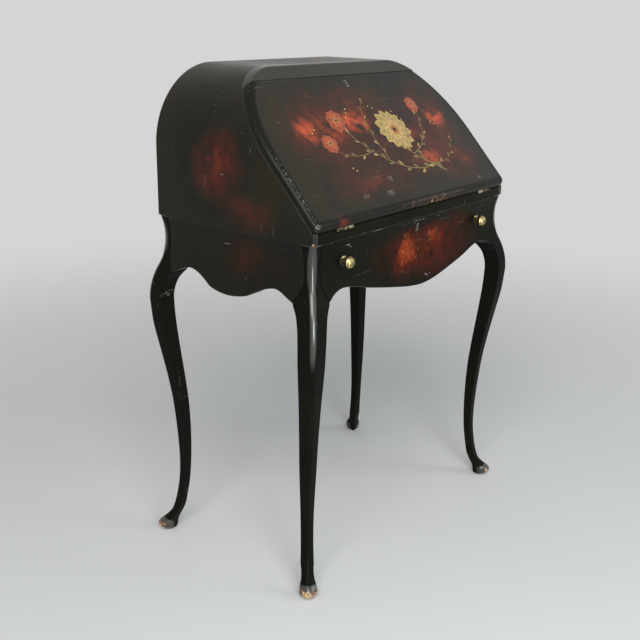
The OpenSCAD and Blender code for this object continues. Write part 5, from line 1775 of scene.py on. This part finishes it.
def set_lamps():
    """A key lamp, a lamp from the right and an upright strip, in a pale world."""
    lamps = (
        ("key", (-2.4, -1.6, 3.1), (0.0, 0.0, 0.75), (2.4, 2.4), 95.0, (1.0, 0.985, 0.96)),
        ("side", (1.9, -3.2, 2.2), (0.1, 0.0, 0.7), (1.6, 1.6), 34.0, (0.95, 0.98, 1.0)),
        ("strip", (-1.50, -2.3, 0.70), (-0.35, -0.2, 0.50), (0.85, 1.4), 46.0, (0.80, 0.91, 1.0)),
    )
    for name, place, target, size, power, colour in lamps:
        light = bpy.data.lights.new(name, "AREA")
        light.shape = "RECTANGLE"
        light.size, light.size_y = size
        light.energy = power
        light.color = colour
        lamp = bpy.data.objects.new(name, light)
        lamp.visible_camera = False
        lamp.location = place
        aim = Vector(target) - Vector(place)
        lamp.rotation_euler = aim.to_track_quat("-Z", "Y").to_euler()
        bpy.context.scene.collection.objects.link(lamp)
    world = bpy.data.worlds.new("studio")
    world.use_nodes = True
    tree = world.node_tree
    ground = tree.nodes["Background"]
    ground.inputs["Color"].default_value = DAYLIGHT
    ground.inputs["Strength"].default_value = DAYLIGHT_STRENGTH
    behind = tree.nodes.new("ShaderNodeBackground")
    behind.inputs["Color"].default_value = (*bpy.context.scene.desk_colours.backdrop, 1)
    blend = tree.nodes.new("ShaderNodeMixShader")
    tree.links.new(backdrop_ray(tree), blend.inputs["Fac"])
    tree.links.new(ground.outputs["Background"], blend.inputs[1])
    tree.links.new(behind.outputs["Background"], blend.inputs[2])
    tree.links.new(blend.outputs["Shader"], tree.nodes["World Output"].inputs["Surface"])
    bpy.context.scene.world = world


def set_camera():
    """The photograph's camera: its place, and its axes from a yaw, a pitch and a roll."""
    yaw, pitch, roll = (math.radians(v) for v in CAMERA_TURN)
    level = math.cos(pitch)
    ahead = Vector((math.sin(yaw) * level, math.cos(yaw) * level, -math.sin(pitch)))
    right = ahead.cross(Vector((0, 0, 1))).normalized()
    up = right.cross(ahead)
    right, up = (
        math.cos(roll) * right + math.sin(roll) * up,
        -math.sin(roll) * right + math.cos(roll) * up,
    )
    data = bpy.data.cameras.new("photo_view")
    data.sensor_width = 36
    data.lens = FOCAL_PIXELS / PHOTO_PIXELS * data.sensor_width
    camera = bpy.data.objects.new("photo_view", data)
    turn = Matrix((right, up, -ahead)).transposed().to_4x4()
    camera.matrix_world = Matrix.Translation(CAMERA_PLACE) @ turn
    bpy.context.scene.collection.objects.link(camera)
    bpy.context.scene.camera = camera
    bpy.context.scene.view_settings.view_transform = "Standard"


OPERATORS = (
    DESK_OT_legs, DESK_OT_aprons, DESK_OT_drawer_front, DESK_OT_shell, DESK_OT_lid,
    DESK_OT_fascia, DESK_OT_spray, DESK_OT_knobs, DESK_OT_boards, DESK_OT_gallery,
    DESK_OT_drawer_box, DESK_OT_locks, DESK_OT_hinges, DESK_OT_stays, DESK_OT_leather,
    DESK_OT_stage,
)


class DESK_PT_panel(bpy.types.Panel):
    """Sizes, colours and the makers of the pieces"""

    bl_label = "Drop-front desk"
    bl_idname = "DESK_PT_panel"
    bl_space_type = "VIEW_3D"
    bl_region_type = "UI"
    bl_category = "Desk"

    def draw(self, context):
        layout = self.layout
        for group in (context.scene.desk_sizes, context.scene.desk_colours):
            box = layout.box()
            for name in group.__annotations__:
                box.prop(group, name)
        for operator in OPERATORS:
            layout.operator(operator.bl_idname)


CLASSES = (DeskSizes, DeskColours, *OPERATORS, DESK_PT_panel)


def register():
    """Registers the classes and hangs the property groups on the scene."""
    for cls in CLASSES:
        bpy.utils.register_class(cls)
    bpy.types.Scene.desk_sizes = PointerProperty(type=DeskSizes)
    bpy.types.Scene.desk_colours = PointerProperty(type=DeskColours)


def unregister():
    """Takes back what register did."""
    del bpy.types.Scene.desk_colours
    del bpy.types.Scene.desk_sizes
    for cls in reversed(CLASSES):
        bpy.utils.unregister_class(cls)


def main():
    """Makes every piece in order."""
    register()
    for operator in OPERATORS:
        group, name = operator.bl_idname.split(".")
        getattr(getattr(bpy.ops, group), name)()


if __name__ == "__main__":
    main()
